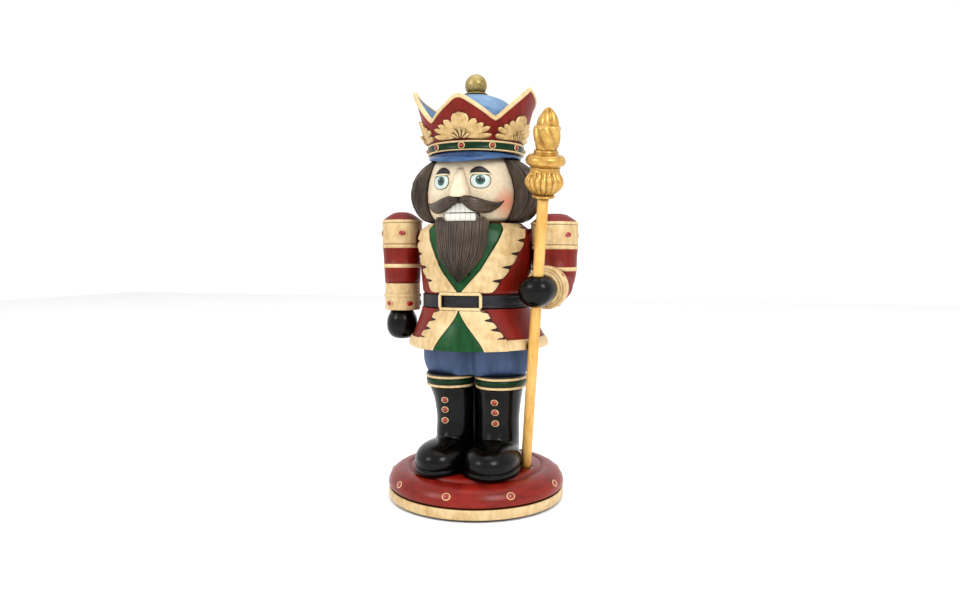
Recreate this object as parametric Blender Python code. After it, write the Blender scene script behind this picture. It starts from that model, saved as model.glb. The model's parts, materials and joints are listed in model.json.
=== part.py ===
"""A standing nutcracker king, 356 mm tall, as separate pieces around a lever-worked jaw.

The figure faces -Y, its staff is on the +X side, and the origin is under the middle of the base.
Tables and constants are millimetres, which finish() turns into Blender's metres.
"""

import math

import bmesh
import bpy
from mathutils import Matrix, Vector

MM = 0.001
GAP = 0.3  # clearance between neighbouring pieces

# Levels of the figure, from the table up
FELT_TOP = 1.2
PLINTH_TOP = 10.0
BASE_TOP = 28.0
BOOT_TOP = 94.0
BOOT_CUFF_TOP = 104.0
TROUSERS_TOP = 131.0
HEM_BOTTOM, HEM_TOP = 129.0, 137.6
SKIRT_TOP = 162.0
BELT_BOTTOM, BELT_TOP = 162.6, 173.2
COAT_TOP = 231.5
HEAD_TOP = 283.6
BRIM_TOP = 287.2
BAND_TOP = 296.0
DOME_TOP = 338.0
FIGURE_TOP = 356.0

# Plan sizes
BASE_RADIUS = 74.7
LEG_DOWEL = (19.0, 2.0)
LEG_DOWEL_RADIUS = 4.0
BELT_INNER, BELT_OUTER = 43.1, 45.0
BAND_RADIUS = 39.6
ARM_X, ARM_Y = 68.8, 4.0
ARM_DOWEL_RADIUS = 3.5
ARM_DOWEL_Y, ARM_DOWEL_Z = 3.0, 221.0

# The jaw turns on a pin across the body, and its lever comes out of the back
JAW_AXIS = Vector((0.0, -2.0, 185.0))
PIN_RADIUS = 2.0
LEVER_HALF = 7.0
SLOT_HALF = 8.0
TEETH_HALF = 13.0

# The staff stands in a socket, leans forwards and outwards, and passes through the fist
STAFF_FOOT = Vector((44.2, -2.5, 23.6))
STAFF_LEAN = Vector((0.1076, -0.214, 1.0)).normalized()
SHAFT_RADIUS = 4.3
SHAFT_LENGTH = 231.0
FIST_CENTRE = Vector((60.7, -35.3, 177.0))
FOREARM = Vector((-0.23, -0.965, -0.13)).normalized()

# Cross-sections of the clothed body: height, centre y, half width, reach to the front and to the back
SKIRT = (
    (131.5, 8.0, 58.3, 58.3, 58.3),
    (141.0, 5.0, 54.8, 53.5, 54.8),
    (150.0, 2.5, 50.5, 49.0, 50.5),
    (158.0, 0.5, 46.8, 46.0, 47.0),
    (SKIRT_TOP, 0.0, 45.6, 45.3, 45.6),
)
COAT = (
    (SKIRT_TOP + GAP, 0.0, 42.8, 42.8, 42.8),
    (BELT_TOP + 0.4, 0.0, 42.8, 42.8, 42.8),
    (BELT_TOP + 1.0, 0.0, 44.8, 44.5, 44.5),
    (200.0, 0.0, 48.0, 42.5, 45.0),
    (216.0, 0.0, 49.0, 39.5, 43.0),
    (226.0, 0.0, 46.5, 36.5, 40.0),
    (COAT_TOP, 0.0, 38.0, 33.0, 35.0),
)
HEAD = (
    (231.8, 0.0, 31.0, 33.0, 27.0),
    (234.0, 0.0, 34.8, 37.0, 30.0),
    (240.0, 0.0, 38.4, 38.5, 31.0),
    (248.0, 0.0, 40.8, 39.3, 32.0),
    (257.0, 0.0, 41.0, 39.8, 32.0),
    (266.0, 0.0, 39.6, 40.0, 32.0),
    (276.0, 0.0, 36.4, 39.0, 31.5),
    (281.0, 0.0, 34.4, 37.0, 30.5),
    (HEAD_TOP, 0.0, 32.5, 34.5, 29.5),
)
# The boots: height, centre x, centre y, half width, reach to the front and to the back
FOOT = (
    (BASE_TOP + GAP, 21.2, -28.0, 19.6, 25.8, 51.0),
    (32.0, 21.3, -28.0, 20.9, 27.0, 52.0),
    (34.5, 21.2, -28.0, 19.8, 25.8, 51.0),
    (42.0, 21.3, -28.0, 20.6, 25.5, 52.0),
)
BOOTS = {
    "left": FOOT + (
        (48.0, 20.8, -25.0, 17.5, 21.5, 49.0),
        (51.5, 19.8, -18.0, 15.6, 18.0, 42.0),
        (56.0, 18.4, 0.0, 16.0, 21.0, 23.5),
        (66.0, 18.0, 2.0, 15.9, 19.5, 20.5),
        (83.0, 19.2, 1.0, 17.9, 20.0, 22.0),
        (BOOT_TOP, 20.6, 0.0, 20.0, 22.5, 24.0),
    ),
    "right": FOOT + (
        (48.0, 20.8, -25.0, 18.2, 21.5, 49.0),
        (51.5, 20.4, -18.0, 17.2, 18.0, 42.0),
        (56.0, 19.4, 0.0, 17.6, 21.0, 23.5),
        (66.0, 19.4, 2.0, 17.6, 19.5, 20.5),
        (83.0, 20.0, 1.0, 18.8, 20.0, 22.0),
        (BOOT_TOP, 20.6, 0.0, 20.0, 22.5, 24.0),
    ),
}
BOOT_BUTTONS = ((65.9, 22.0), (75.1, 21.8), (83.6, 21.6))

COLOURS = {  # base colour, roughness, metallic
    "red_paint": ((0.22, 0.022, 0.014), 0.42, 0.0),
    "gold_paint": ((0.62, 0.42, 0.18), 0.40, 0.35),
    "green_paint": ((0.010, 0.075, 0.028), 0.40, 0.0),
    "blue_paint": ((0.075, 0.16, 0.42), 0.40, 0.0),
    "trouser_paint": ((0.07, 0.10, 0.21), 0.50, 0.0),
    "black_paint": ((0.012, 0.012, 0.012), 0.25, 0.0),
    "hair_paint": ((0.035, 0.022, 0.018), 0.50, 0.0),
    "skin_paint": ((0.72, 0.58, 0.40), 0.45, 0.0),
    "white_paint": ((0.80, 0.78, 0.72), 0.35, 0.0),
    "jewel_paint": ((0.33, 0.015, 0.012), 0.15, 0.0),
    "staff_paint": ((0.72, 0.45, 0.12), 0.35, 0.4),
    "bare_wood": ((0.45, 0.28, 0.13), 0.60, 0.0),
    "steel": ((0.55, 0.55, 0.56), 0.30, 1.0),
    "felt": ((0.01, 0.06, 0.025), 0.95, 0.0),
}


# ---------------------------------------------------------------- helpers


def material(name):
    """The Principled material of one colour, made once."""
    if name not in bpy.data.materials:
        made = bpy.data.materials.new(name)
        made.use_nodes = True
        shader = made.node_tree.nodes["Principled BSDF"]
        colour, roughness, metallic = COLOURS[name]
        shader.inputs["Base Color"].default_value = (*colour, 1.0)
        shader.inputs["Roughness"].default_value = roughness
        shader.inputs["Metallic"].default_value = metallic
        made.diffuse_color = (*colour, 1.0)
    return bpy.data.materials[name]


def finish(name, bm, paint, origin=(0, 0, 0)):
    """Turn a mesh in millimetres into an object whose origin is at the given point."""
    bmesh.ops.translate(bm, verts=bm.verts, vec=-Vector(origin))
    bmesh.ops.scale(bm, verts=bm.verts, vec=(MM, MM, MM))
    bmesh.ops.recalc_face_normals(bm, faces=bm.faces)
    mesh = bpy.data.meshes.new(name)
    bm.to_mesh(mesh)
    bm.free()
    mesh.materials.append(material(paint))
    mesh.shade_smooth()
    mesh.set_sharp_from_angle(angle=math.radians(35))
    piece = bpy.data.objects.new(name, mesh)
    piece.location = Vector(origin) * MM
    bpy.context.scene.collection.objects.link(piece)
    return piece


def skinned(name, loops, paint, closed=False, origin=(0, 0, 0)):
    """Skin a row of loops, each of one point or the same number; closed joins the last to the first."""
    bm = bmesh.new()
    rows = [[bm.verts.new(point) for point in loop] for loop in loops]
    pairs = list(zip(rows, rows[1:]))
    if closed:
        pairs.append((rows[-1], rows[0]))
    for low, high in pairs:
        count = max(len(low), len(high))
        for i in range(count):
            j = (i + 1) % count
            around = (low[i % len(low)], low[j % len(low)], high[j % len(high)], high[i % len(high)])
            bm.faces.new(list(dict.fromkeys(around)))
    if not closed:
        for end in (rows[0], rows[-1]):
            if len(end) > 2:
                bm.faces.new(end)
    return finish(name, bm, paint, origin)


def circle(radius, height, segments, centre=(0.0, 0.0)):
    """One level ring of points, or its middle alone where the radius is nothing."""
    x, y = centre
    if radius == 0:
        return [Vector((x, y, height))]
    angles = [2 * math.pi * i / segments for i in range(segments)]
    return [Vector((x + radius * math.sin(a), y - radius * math.cos(a), height)) for a in angles]


def turned(name, profile, paint, segments, centre=(0.0, 0.0)):
    """A lathe-turned solid from (radius, height) points, bottom to top."""
    return skinned(name, [circle(r, z, segments, centre) for r, z in profile], paint)


def turned_ring(name, profile, paint, segments, centre=(0.0, 0.0)):
    """A lathe-turned ring from the (radius, height) points around its section."""
    return skinned(name, [circle(r, z, segments, centre) for r, z in profile], paint, closed=True)


def oriented(name, profile, paint, segments, foot, axis, parent=None):
    """A turned solid standing on a point and pointing along an axis."""
    piece = turned(name, profile, paint, segments)
    if parent is None:
        piece.location = Vector(foot) * MM
        piece.rotation_mode = "QUATERNION"
        piece.rotation_quaternion = Vector((0, 0, 1)).rotation_difference(axis)
    else:
        piece.parent = parent
    return piece


def oval(x, y, half, front, back, height, segments):
    """An egg-shaped ring: one half ellipse to the front of its centre and one to the back."""
    ring = []
    for i in range(segments):
        angle = 2 * math.pi * i / segments
        reach = front if math.cos(angle) > 0 else back
        ring.append(Vector((x + half * math.sin(angle), y - reach * math.cos(angle), height)))
    return ring


def lofted(name, sections, paint, segments):
    """A solid through (height, centre y, half width, front, back) sections."""
    return skinned(name, [oval(0, y, w, f, b, z, segments) for z, y, w, f, b in sections], paint)


def between(sections, height):
    """The section's values at a height, straight between the two listed around it."""
    for low, high in zip(sections, sections[1:]):
        if height <= high[0]:
            break
    share = (height - low[0]) / (high[0] - low[0])
    return [a + (b - a) * share for a, b in zip(low[1:], high[1:])]


def on_surface(sections, degrees, height, lift):
    """A point lifted off a lofted body, at an angle from its front towards +X."""
    y, half, front, back = between(sections, height)
    angle = math.radians(degrees)
    reach = (front if math.cos(angle) > 0 else back) + lift
    return Vector(((half + lift) * math.sin(angle), y - reach * math.cos(angle), height))


def plate(name, sections, rows, columns, lift, paint):
    """A plate lying on a lofted body; each row is (height, first angle, last angle, thickness)."""
    heights = {row[0] for row in rows}
    heights |= {section[0] for section in sections if rows[0][0] < section[0] < rows[-1][0]}
    loops = []
    for height in sorted(heights):
        first, last, thickness = between(rows, height)
        angles = [first + (last - first) * i / (columns - 1) for i in range(columns)]
        outer = [on_surface(sections, a, height, lift + thickness) for a in angles]
        inner = [on_surface(sections, a, height, lift) for a in reversed(angles)]
        loops.append(outer + inner)
    return skinned(name, loops, paint)


def extruded(name, outline, half, paint, origin=(0, 0, 0)):
    """A flat (y, z) outline given a width along X, half of it to each side."""
    sides = [[Vector((x, y, z)) for y, z in outline] for x in (-half, half)]
    return skinned(name, sides, paint, origin=origin)


def cutter(piece):
    """Keep a piece only as a tool for Booleans."""
    piece.hide_render = True
    piece.display_type = "WIRE"
    return piece


def combine(piece, tool, operation="DIFFERENCE"):
    modifier = piece.modifiers.new(tool.name, "BOOLEAN")
    modifier.object = tool
    modifier.operation = operation


def axis_empty(name, location, axis=Vector((0, 0, 1))):
    """An empty on a joint's axis, which the moving pieces are parented to."""
    empty = bpy.data.objects.new(name, None)
    empty.location = location * MM
    empty.rotation_mode = "QUATERNION"
    empty.rotation_quaternion = Vector((0, 0, 1)).rotation_difference(axis)
    bpy.context.scene.collection.objects.link(empty)
    return empty


def sides():
    """The two sides of the figure, as a name and the sign of X."""
    return (("left", -1), ("right", 1))


# ---------------------------------------------------------------- base


def make_base():
    turned("base_felt", ((0, 0), (70, 0), (70, FELT_TOP), (0, FELT_TOP)), "felt", 32)
    low = FELT_TOP + GAP
    rim = ((0, low), (BASE_RADIUS - 2, low), (BASE_RADIUS, low + 1.8), (BASE_RADIUS, PLINTH_TOP - 1.6),
           (BASE_RADIUS - 1.5, PLINTH_TOP), (0, PLINTH_TOP))
    turned("base_plinth", rim, "gold_paint", 36)
    top = turned(
        "base_top",
        ((0, PLINTH_TOP + GAP), (BASE_RADIUS - 2, PLINTH_TOP + GAP), (BASE_RADIUS, 13), (BASE_RADIUS, 15.5),
         (BASE_RADIUS - 4.2, 22.5), (64.5, 26), (59.5, 26.2), (57.5, 25.2), (55.5, 26.8), (52, BASE_TOP),
         (0, BASE_TOP)),
        "red_paint", 36)
    bore = SHAFT_RADIUS + GAP
    socket = oriented("socket_cutter", ((0, -GAP), (bore, -GAP), (bore, 20), (0, 20)), "red_paint", 16,
                      STAFF_FOOT, STAFF_LEAN)
    combine(top, cutter(socket))
    return top


def make_base_jewels(count=9, first=-1.5):
    """Domed jewels on the sloping shoulder of the base."""
    slope = Vector((0, -7.0, 4.2)).normalized()
    middle = Vector((0, -(BASE_RADIUS - 2.1), 19.0))
    dome = ((0, 0), (3.4, 0), (3.3, 0.9), (2.3, 1.1), (1.4, 2.0), (0, 2.4))
    for index in range(count):
        spin = Matrix.Rotation(math.radians(first + 360 / count * index), 3, "Z")
        foot = spin @ (middle + slope * GAP)
        oriented(f"base_jewel_{index + 1}", dome, "jewel_paint", 10, foot, spin @ slope)


# ---------------------------------------------------------------- legs


def make_legs(base_top):
    for side, sign in sides():
        rings = [oval(sign * x, y, w, f, b, z, 24) for z, x, y, w, f, b in BOOTS[side]]
        boot = skinned(f"boot_{side}", rings, "black_paint")
        low = BOOT_TOP + GAP
        band = ((low, 20.9), (low + 1.2, 21.5), (low + 2.4, 20.9), (BOOT_CUFF_TOP - 2.4, 21.1),
                (BOOT_CUFF_TOP - 1.2, 21.7), (BOOT_CUFF_TOP, 21.0))
        cuff = skinned(f"boot_cuff_{side}", [oval(sign * 22.0, 0, w, w + 3, w + 4, z, 24) for z, w in band],
                       "green_paint")
        place = (sign * LEG_DOWEL[0], LEG_DOWEL[1])
        turned(f"leg_dowel_{side}", ((0, 16), (LEG_DOWEL_RADIUS, 16), (LEG_DOWEL_RADIUS, 124), (0, 124)),
               "bare_wood", 12, place)
        hole = turned(f"leg_hole_{side}",
                      ((0, 16 - GAP), (LEG_DOWEL_RADIUS + GAP, 16 - GAP), (LEG_DOWEL_RADIUS + GAP, 124 + GAP),
                       (0, 124 + GAP)), "bare_wood", 12, place)
        cutter(hole)
        for piece in (base_top, boot, cuff, bpy.data.objects["trousers"]):
            combine(piece, hole)
        make_boot_buttons(side, sign)


def make_boot_buttons(side, sign):
    """Three domed buttons up the front of each boot."""
    dome = ((0, 0), (2.7, 0), (2.7, 0.9), (1.6, 1.7), (0, 2.0))
    def shin(height):
        _, y, _, front, _ = between(BOOTS[side], height)
        return y - front

    for index, (height, x) in enumerate(BOOT_BUTTONS):
        slope = (shin(height + 3) - shin(height - 3)) / 6
        foot = (sign * x, shin(height) - 0.6, height)
        oriented(f"boot_button_{side}_{index + 1}", dome, "jewel_paint", 8, foot, Vector((0, -1, slope)))


def make_trousers():
    """Both trouser legs in one piece, pinched to a crease between them."""
    low = BOOT_CUFF_TOP + GAP
    rings = []
    levels = ((low, 42.5, 21.5), (114, 46, 24.5), (124, 46.5, 26), (TROUSERS_TOP, 45.5, 26))
    for height, half, depth in levels:
        ring = oval(0, 0, half, depth, depth + 2, height, 32)
        for point in ring:
            point.y *= 1 - 0.28 * math.exp(-((point.x / 7) ** 2))
        rings.append(ring)
    skinned("trousers", rings, "trouser_paint")


# ---------------------------------------------------------------- coat


def make_coat():
    lofted("coat_skirt", SKIRT, "red_paint", 36)
    hem = []
    edge = SKIRT[0][0]
    for height, lift in ((HEM_BOTTOM, 1.3), (edge, 1.6), (HEM_TOP, 1.3), (HEM_TOP, GAP), (edge, GAP),
                         (HEM_BOTTOM, GAP)):
        y, half, front, back = between(SKIRT, max(height, edge))
        hem.append(oval(0, y, half + lift, front + lift, back + lift, height, 36))
    skinned("hem_trim", hem, "gold_paint", closed=True)

    thin = 1.3
    plate("apron", SKIRT, ((SKIRT[0][0], -21, 21, thin), (137, -18, 18, thin), (146, -13, 13, thin),
                           (154, -8, 8, thin), (SKIRT_TOP - 1.4, -3, 3, thin)), 6, 2.1, "green_paint")
    for side, sign in sides():
        rows = [(h, sign * a, sign * b, thin) for h, a, b in
                ((HEM_TOP + 0.5, 18.5, 39), (146, 14, 36), (154, 9, 31), (SKIRT_TOP - 1.4, 4, 26))]
        plate(f"skirt_lapel_{side}", SKIRT, rows, 5, GAP, "gold_paint")

    body = lofted("coat_body", COAT, "red_paint", 28)
    opening = ((175.9, 1.5), (185, 10.5), (193, 18.5), (209, 29), (224, 39), (230.6, 43))
    vest = plate("vest", COAT, [(h, -a, a, thin) for h, a in opening], 9, GAP + 0.2, "green_paint")
    for side, sign in sides():
        rows = [(h, sign * (a + 1.3), sign * b, thin)
                for (h, a), b in zip(opening, (34, 42, 49, 61, 71, 76))]
        plate(f"lapel_{side}", COAT, rows, 6, GAP, "gold_paint")
    return body, vest


def make_belt():
    turned_ring("belt", ((BELT_INNER, BELT_BOTTOM), (BELT_OUTER, BELT_BOTTOM), (BELT_OUTER, BELT_TOP),
                         (BELT_INNER, BELT_TOP)), "black_paint", 40)
    frame = []
    back, front = BELT_OUTER + 0.9, BELT_OUTER + 2.4
    outer, inner = (23.0, 160.9, 175.4), (19.6, 163.4, 172.9)  # half angle, bottom and top
    for radius, (half, low, high) in ((back, outer), (front, outer), (front, inner), (back, inner)):
        angles = [math.radians(half * (2 * i / 5 - 1)) for i in range(6)]
        along = [(a, low) for a in angles] + [(a, high) for a in reversed(angles)]
        frame.append([Vector((radius * math.sin(a), -radius * math.cos(a), z)) for a, z in along])
    skinned("buckle", frame, "gold_paint", closed=True)


# ---------------------------------------------------------------- jaw


def make_jaw(body, vest, head):
    """Lever with the lower teeth at its front end and a handle behind the coat, the beard, and the pin."""
    axis = axis_empty("jaw_axis", JAW_AXIS)
    arm = ((-41.5, 213), (-41.5, 233.2), (-34, 233.2), (-31, 230.4), (8, 196), (49, 196), (52, 190),
           (52, 178), (46, 178.2), (8, 176), (0, 175.2), (-8, 177))
    handle = ((47.6, 177.5), (48.6, 161.5), (54.5, 152), (60.2, 143.5), (68.5, 146), (64, 158),
              (58.6, 168), (57.2, 190), (53, 197), (47.6, 197))
    teeth = ((-43, 232), (-43, 238.2), (-33.5, 238.2), (-33.5, 232))
    lever = extruded("jaw_lever", arm, LEVER_HALF, "red_paint", origin=JAW_AXIS)
    lever.parent = axis
    lever.location = (0, 0, 0)
    for name, outline, half in (("lever_handle", handle, 10.0), ("lever_teeth", teeth, TEETH_HALF)):
        combine(lever, cutter(extruded(name, outline, half, "red_paint")), "UNION")

    hair = ((183.6, 1.5, -49.2, -51.0), (188, 5.4, -48.4, -52.4), (193.3, 10.2, -47.6, -53.0),
            (198, 14.4, -46.6, -53.0), (203, 17.8, -45.3, -52.3), (209, 19.8, -43.6, -51.4),
            (216, 21.0, -42.3, -50.3), (224, 22.2, -41.9, -49.0),
            (231.6, 22.6, -41.9, -47.2))  # height, half width, back y and front y
    beard = [oval(0, (back + front) / 2, half, (back - front) / 2, (back - front) / 2, z, 16)
             for z, half, back, front in hair]
    chin = skinned("beard", beard, "hair_paint", origin=JAW_AXIS)
    chin.parent = axis
    chin.location = (0, 0, 0)

    def across(name, radius, half):
        """A rod across the body on the jaw's axis."""
        rod = turned(name, ((0, -half), (radius, -half), (radius, half), (0, half)), "steel", 16)
        rod.location = JAW_AXIS * MM
        rod.rotation_euler = (0, math.pi / 2, 0)
        return rod

    across("jaw_pin", PIN_RADIUS, 30)
    pin_hole = cutter(across("pin_hole", PIN_RADIUS + GAP, 30 + GAP))
    slot = ((-60, 197), (-12, 173.5), (8, 173.5), (30, 176.9), (70, 176.9), (70, 205), (22, 205),
            (12, 240), (-60, 240))
    slot_cutter = cutter(extruded("slot_cutter", slot, SLOT_HALF, "red_paint"))
    mouth = ((-60, 221), (-60, 238.6), (-31.5, 238.6), (-31.5, 230.4), (-28.5, 230.4), (-28.5, 221))
    mouth_cutter = cutter(extruded("mouth_cutter", mouth, TEETH_HALF + 0.8, "red_paint"))
    for piece, tools in ((lever, (pin_hole,)), (body, (slot_cutter, mouth_cutter, pin_hole)),
                         (vest, (slot_cutter, mouth_cutter)), (head, (mouth_cutter,))):
        for tool in tools:
            combine(piece, tool)


# ---------------------------------------------------------------- head


def make_head():
    head = lofted("head", HEAD, "skin_paint", 28)
    bob = ((232.3, 64, 296, 9), (238, 64, 296, 12), (246, 64.5, 295.5, 14), (258, 65, 295, 15.4),
           (268, 63.5, 296.5, 14.6), (276, 61, 299, 10), (281.5, 60, 300, 5.4))
    plate("hair", HEAD, bob, 15, 0.9, "hair_paint")

    nose = ((251.3, 8.5, -50.8), (256, 7.4, -50.2), (263, 5.6, -48), (269, 3.6, -45.4), (271.5, 2.2, -42))
    rings = [oval(0, -40.5, half, -40.5 - front, 0.15, z, 16) for z, half, front in nose]
    skinned("nose", rings, "skin_paint")

    upper = []
    for z, half in ((238.9, 12.4), (242, 9.5), (245, 5)):
        upper.append([Vector((x, y, z)) for x, y in ((-half, -43), (half, -43), (half, -40), (-half, -40))])
    skinned("upper_teeth", upper, "white_paint")
    make_moustache()
    return head


def make_moustache():
    """Two lobes along X: x, centre y, centre z, half depth, half height."""
    half_side = ((30, -30.0, 245.4, 1.0, 1.2), (24, -36.6, 243.4, 3.0, 4.4), (16, -43.4, 244.0, 3.2, 5.4),
                 (8, -46.6, 246.2, 3.0, 4.6))
    stations = [(-x, *rest) for x, *rest in half_side] + [(0, -46.4, 248.8, 2.6, 2.2)]
    stations += [station for station in reversed(half_side)]
    loops = []
    for x, y, z, depth, height in stations:
        angles = [2 * math.pi * i / 12 for i in range(12)]
        loops.append([Vector((x, y + depth * math.cos(a), z + height * math.sin(a))) for a in angles])
    skinned("moustache", loops, "hair_paint")


def make_hat():
    """A peaked cap whose upturned brim is a crown of four points around a puffed dome."""
    def brim_ring(half, front, back, height, droop):
        ring = oval(0, 0, half, front, back, height, 40)
        for point in ring:
            point.z -= droop * max(0.0, -point.y / front) ** 2
        return ring
    rings = [oval(0, 0, 33, 35, 33, HEAD_TOP + GAP, 40), brim_ring(37.6, 49.5, 38, 284.2, 6.4),
             brim_ring(38, 50, 38.4, 285.6, 6.0), oval(0, 0, 37, 40, 37.4, BRIM_TOP, 40)]
    skinned("cap_brim", rings, "blue_paint")
    low = BRIM_TOP + GAP
    trim = BAND_RADIUS + 0.6
    turned("cap_band", ((0, low), (BAND_RADIUS, low), (trim, low + 0.8), (trim, BAND_TOP - 0.8),
                        (BAND_RADIUS, BAND_TOP), (0, BAND_TOP)), "green_paint", 36)
    make_crown()
    dome = ((0, BAND_TOP + 0.4), (35.8, BAND_TOP + 0.4), (38, 304), (37.4, 314), (34, 323),
            (26.5, 331.3), (15, 336.4), (8, DOME_TOP), (0, DOME_TOP))
    turned("cap_dome", dome, "blue_paint", 32)
    low = DOME_TOP + GAP
    ball = 9.3
    middle = FIGURE_TOP - ball
    profile = [(0, low), (9.4, low), (9.8, low + 1.2), (6.4, low + 2.2)]
    profile += [(ball * math.cos(math.radians(a)), middle + ball * math.sin(math.radians(a)))
                for a in (-45, -20, 5, 30, 60)]
    turned("finial", profile + [(0, FIGURE_TOP)], "gold_paint", 20)


def make_crown(segments=48):
    """The flared wall around the cap, with a point at the front, one on each side and one behind."""
    edge = ((0, 329.4), (37.5, 313.4), (75, 340), (97.5, 336), (127.5, 328.5), (180, 341.5))
    flare = ((BAND_TOP + GAP, 39.5), (301.5, 41.8), (308, 43.3), (315, 45), (322, 46.9), (331, 49.6),
             (342, 53))
    wall = 3.0
    loops = [[] for _ in range(6)]
    for i in range(segments):
        angle = 360 * i / segments
        height, = between(edge, min(angle, 360 - angle))
        for loop, level, inward in zip(loops, (flare[0][0], 306, height, height, 306, flare[0][0]),
                                       (0, 0, 0, wall, wall, wall)):
            reach = between(flare, level)[0] - inward
            turn = math.radians(angle)
            loop.append(Vector((reach * math.sin(turn), -reach * math.cos(turn), level)))
    skinned("crown_wall", loops, "red_paint", closed=True)


# ---------------------------------------------------------------- arms


def make_arms(body):
    sleeve = ((0, 181.3), (15.4, 181.3), (16, 194), (16.8, 195), (16.8, 197), (16.3, 198), (16.8, 211),
              (17.8, 212), (17.8, 214), (17.4, 215), (17.4, 233), (17.9, 235), (15.5, 239), (8.5, 242),
              (0, 242.7))
    hanging = turned("sleeve_left", sleeve, "red_paint", 20, (-ARM_X, ARM_Y))
    cuff = ((0, 157.3), (14.6, 157.3), (15.4, 158.5), (15.4, 168.4), (16.4, 169.6), (16.4, 171.2),
            (15.2, 172.4), (15.2, 181), (0, 181))
    turned("cuff_left", cuff, "gold_paint", 20, (-ARM_X, ARM_Y))
    hand = ((0, 133.5), (6, 134.3), (10, 138), (12.8, 145.5), (12, 152.5), (9.5, 157), (0, 157))
    turned("glove_left", hand, "black_paint", 20, (-ARM_X - 0.6, ARM_Y))

    upper_arm = ((0, 171), (7, 172.3), (11.6, 176.5), (14.4, 183), (15.8, 190), (16.4, 196), (17, 206),
                 (17.8, 211.5), (17.4, 214), (17.4, 229.6), (17.9, 231.6), (15.5, 235.6), (8.5, 238.6),
                 (0, 239.2))
    bent = turned("sleeve_right", upper_arm, "red_paint", 20, (ARM_X, ARM_Y))
    cuff_back = FIST_CENTRE - FOREARM * 25
    reach = 17.0
    elbow = ((0, 0), (12, 0), (14.6, 5), (14.8, reach - GAP), (0, reach - GAP))
    forearm = oriented("forearm", elbow, "red_paint", 20, cuff_back - FOREARM * reach, FOREARM)
    combine(bent, cutter(forearm), "UNION")
    gauntlet = ((0, 0), (15.6, 0), (16.6, 1.0), (16.6, 3.4), (17.6, 4.4), (17.6, 9.6), (16, 10.6), (13, 10.6),
                (12, 12.4), (0, 12.4))
    oriented("cuff_right", gauntlet, "gold_paint", 24, cuff_back, FOREARM)
    make_fist(cuff_back + FOREARM * (12.4 + GAP))

    for side, sign, arm in (("left", -1, hanging), ("right", 1, bent)):
        rod = ((0, 0), (ARM_DOWEL_RADIUS, 0), (ARM_DOWEL_RADIUS, 24), (0, 24))
        hole = ((0, -GAP), (ARM_DOWEL_RADIUS + GAP, -GAP), (ARM_DOWEL_RADIUS + GAP, 24 + GAP), (0, 24 + GAP))
        foot = (sign * 38, ARM_DOWEL_Y, ARM_DOWEL_Z)
        oriented(f"arm_dowel_{side}", rod, "bare_wood", 12, foot, Vector((sign, 0, 0)))
        tool = cutter(oriented(f"arm_hole_{side}", hole, "bare_wood", 12, foot, Vector((sign, 0, 0))))
        combine(body, tool)
        combine(arm, tool)


def make_fist(wrist):
    """The closed right hand, a squashed ball bored for the staff."""
    reach = (FIST_CENTRE - wrist).length
    profile = [(0, 0), (9.5, 0), (12.4, 4.5), (13.8, reach), (13, reach + 6), (9.5, reach + 11),
               (4.5, reach + 13.2), (0, reach + 13.6)]
    fist = oriented("glove_right", profile, "black_paint", 20, wrist, FOREARM)
    for vertex in fist.data.vertices:
        vertex.co.y *= 0.88
    bore = ((0, 110), (SHAFT_RADIUS + GAP, 110), (SHAFT_RADIUS + GAP, 200), (0, 200))
    combine(fist, cutter(oriented("fist_bore", bore, "black_paint", 16, STAFF_FOOT, STAFF_LEAN)))


# ---------------------------------------------------------------- staff


def make_staff():
    """The shaft and its turned and fluted head, both parented to an empty on the staff's axis."""
    axis = axis_empty("staff_axis", STAFF_FOOT, STAFF_LEAN)
    top = SHAFT_LENGTH
    oriented("staff_shaft", ((0, 0), (3.5, 0), (SHAFT_RADIUS, 5), (SHAFT_RADIUS, top - GAP), (0, top - GAP)),
             "staff_paint", 16, STAFF_FOOT, STAFF_LEAN, axis)
    head = ((0, 0), (8.4, 0), (8.8, 1.4), (7.8, 2.5), (10.4, 4.6), (14, 8.6), (14.6, 12.0), (13.6, 16.0),
            (11.9, 18.6), (11.4, 19.4), (11.4, 22.4), (10.8, 23.4), (13.6, 24.4), (15, 26.8), (14.8, 29.2),
            (13, 31.6), (9.2, 32.8), (8.9, 34.8), (8.4, 35.4), (9.4, 39), (10.3, 44), (10.3, 50.5),
            (8.9, 53.2), (8.6, 55.4), (7.2, 59.4), (4.7, 63.3), (2.0, 66), (0, 66.4))
    oriented("staff_head", [(r, z + top) for r, z in head], "staff_paint", 14, STAFF_FOOT, STAFF_LEAN, axis)


# ---------------------------------------------------------------- the figure


def main():
    for old in list(bpy.data.objects):
        bpy.data.objects.remove(old)
    base_top = make_base()
    make_base_jewels()
    make_trousers()
    make_legs(base_top)
    body, vest = make_coat()
    make_belt()
    head = make_head()
    make_hat()
    make_jaw(body, vest, head)
    make_arms(body)
    make_staff()


main()
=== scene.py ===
"""The looks of a crowned nutcracker figure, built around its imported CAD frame.

Lengths are millimetres in the frame's own axes (the figure faces -Y, up is +Z) until a Piece is done.
"""
import json
import math

import bmesh
import bpy
from mathutils import Matrix, Vector, noise


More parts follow.
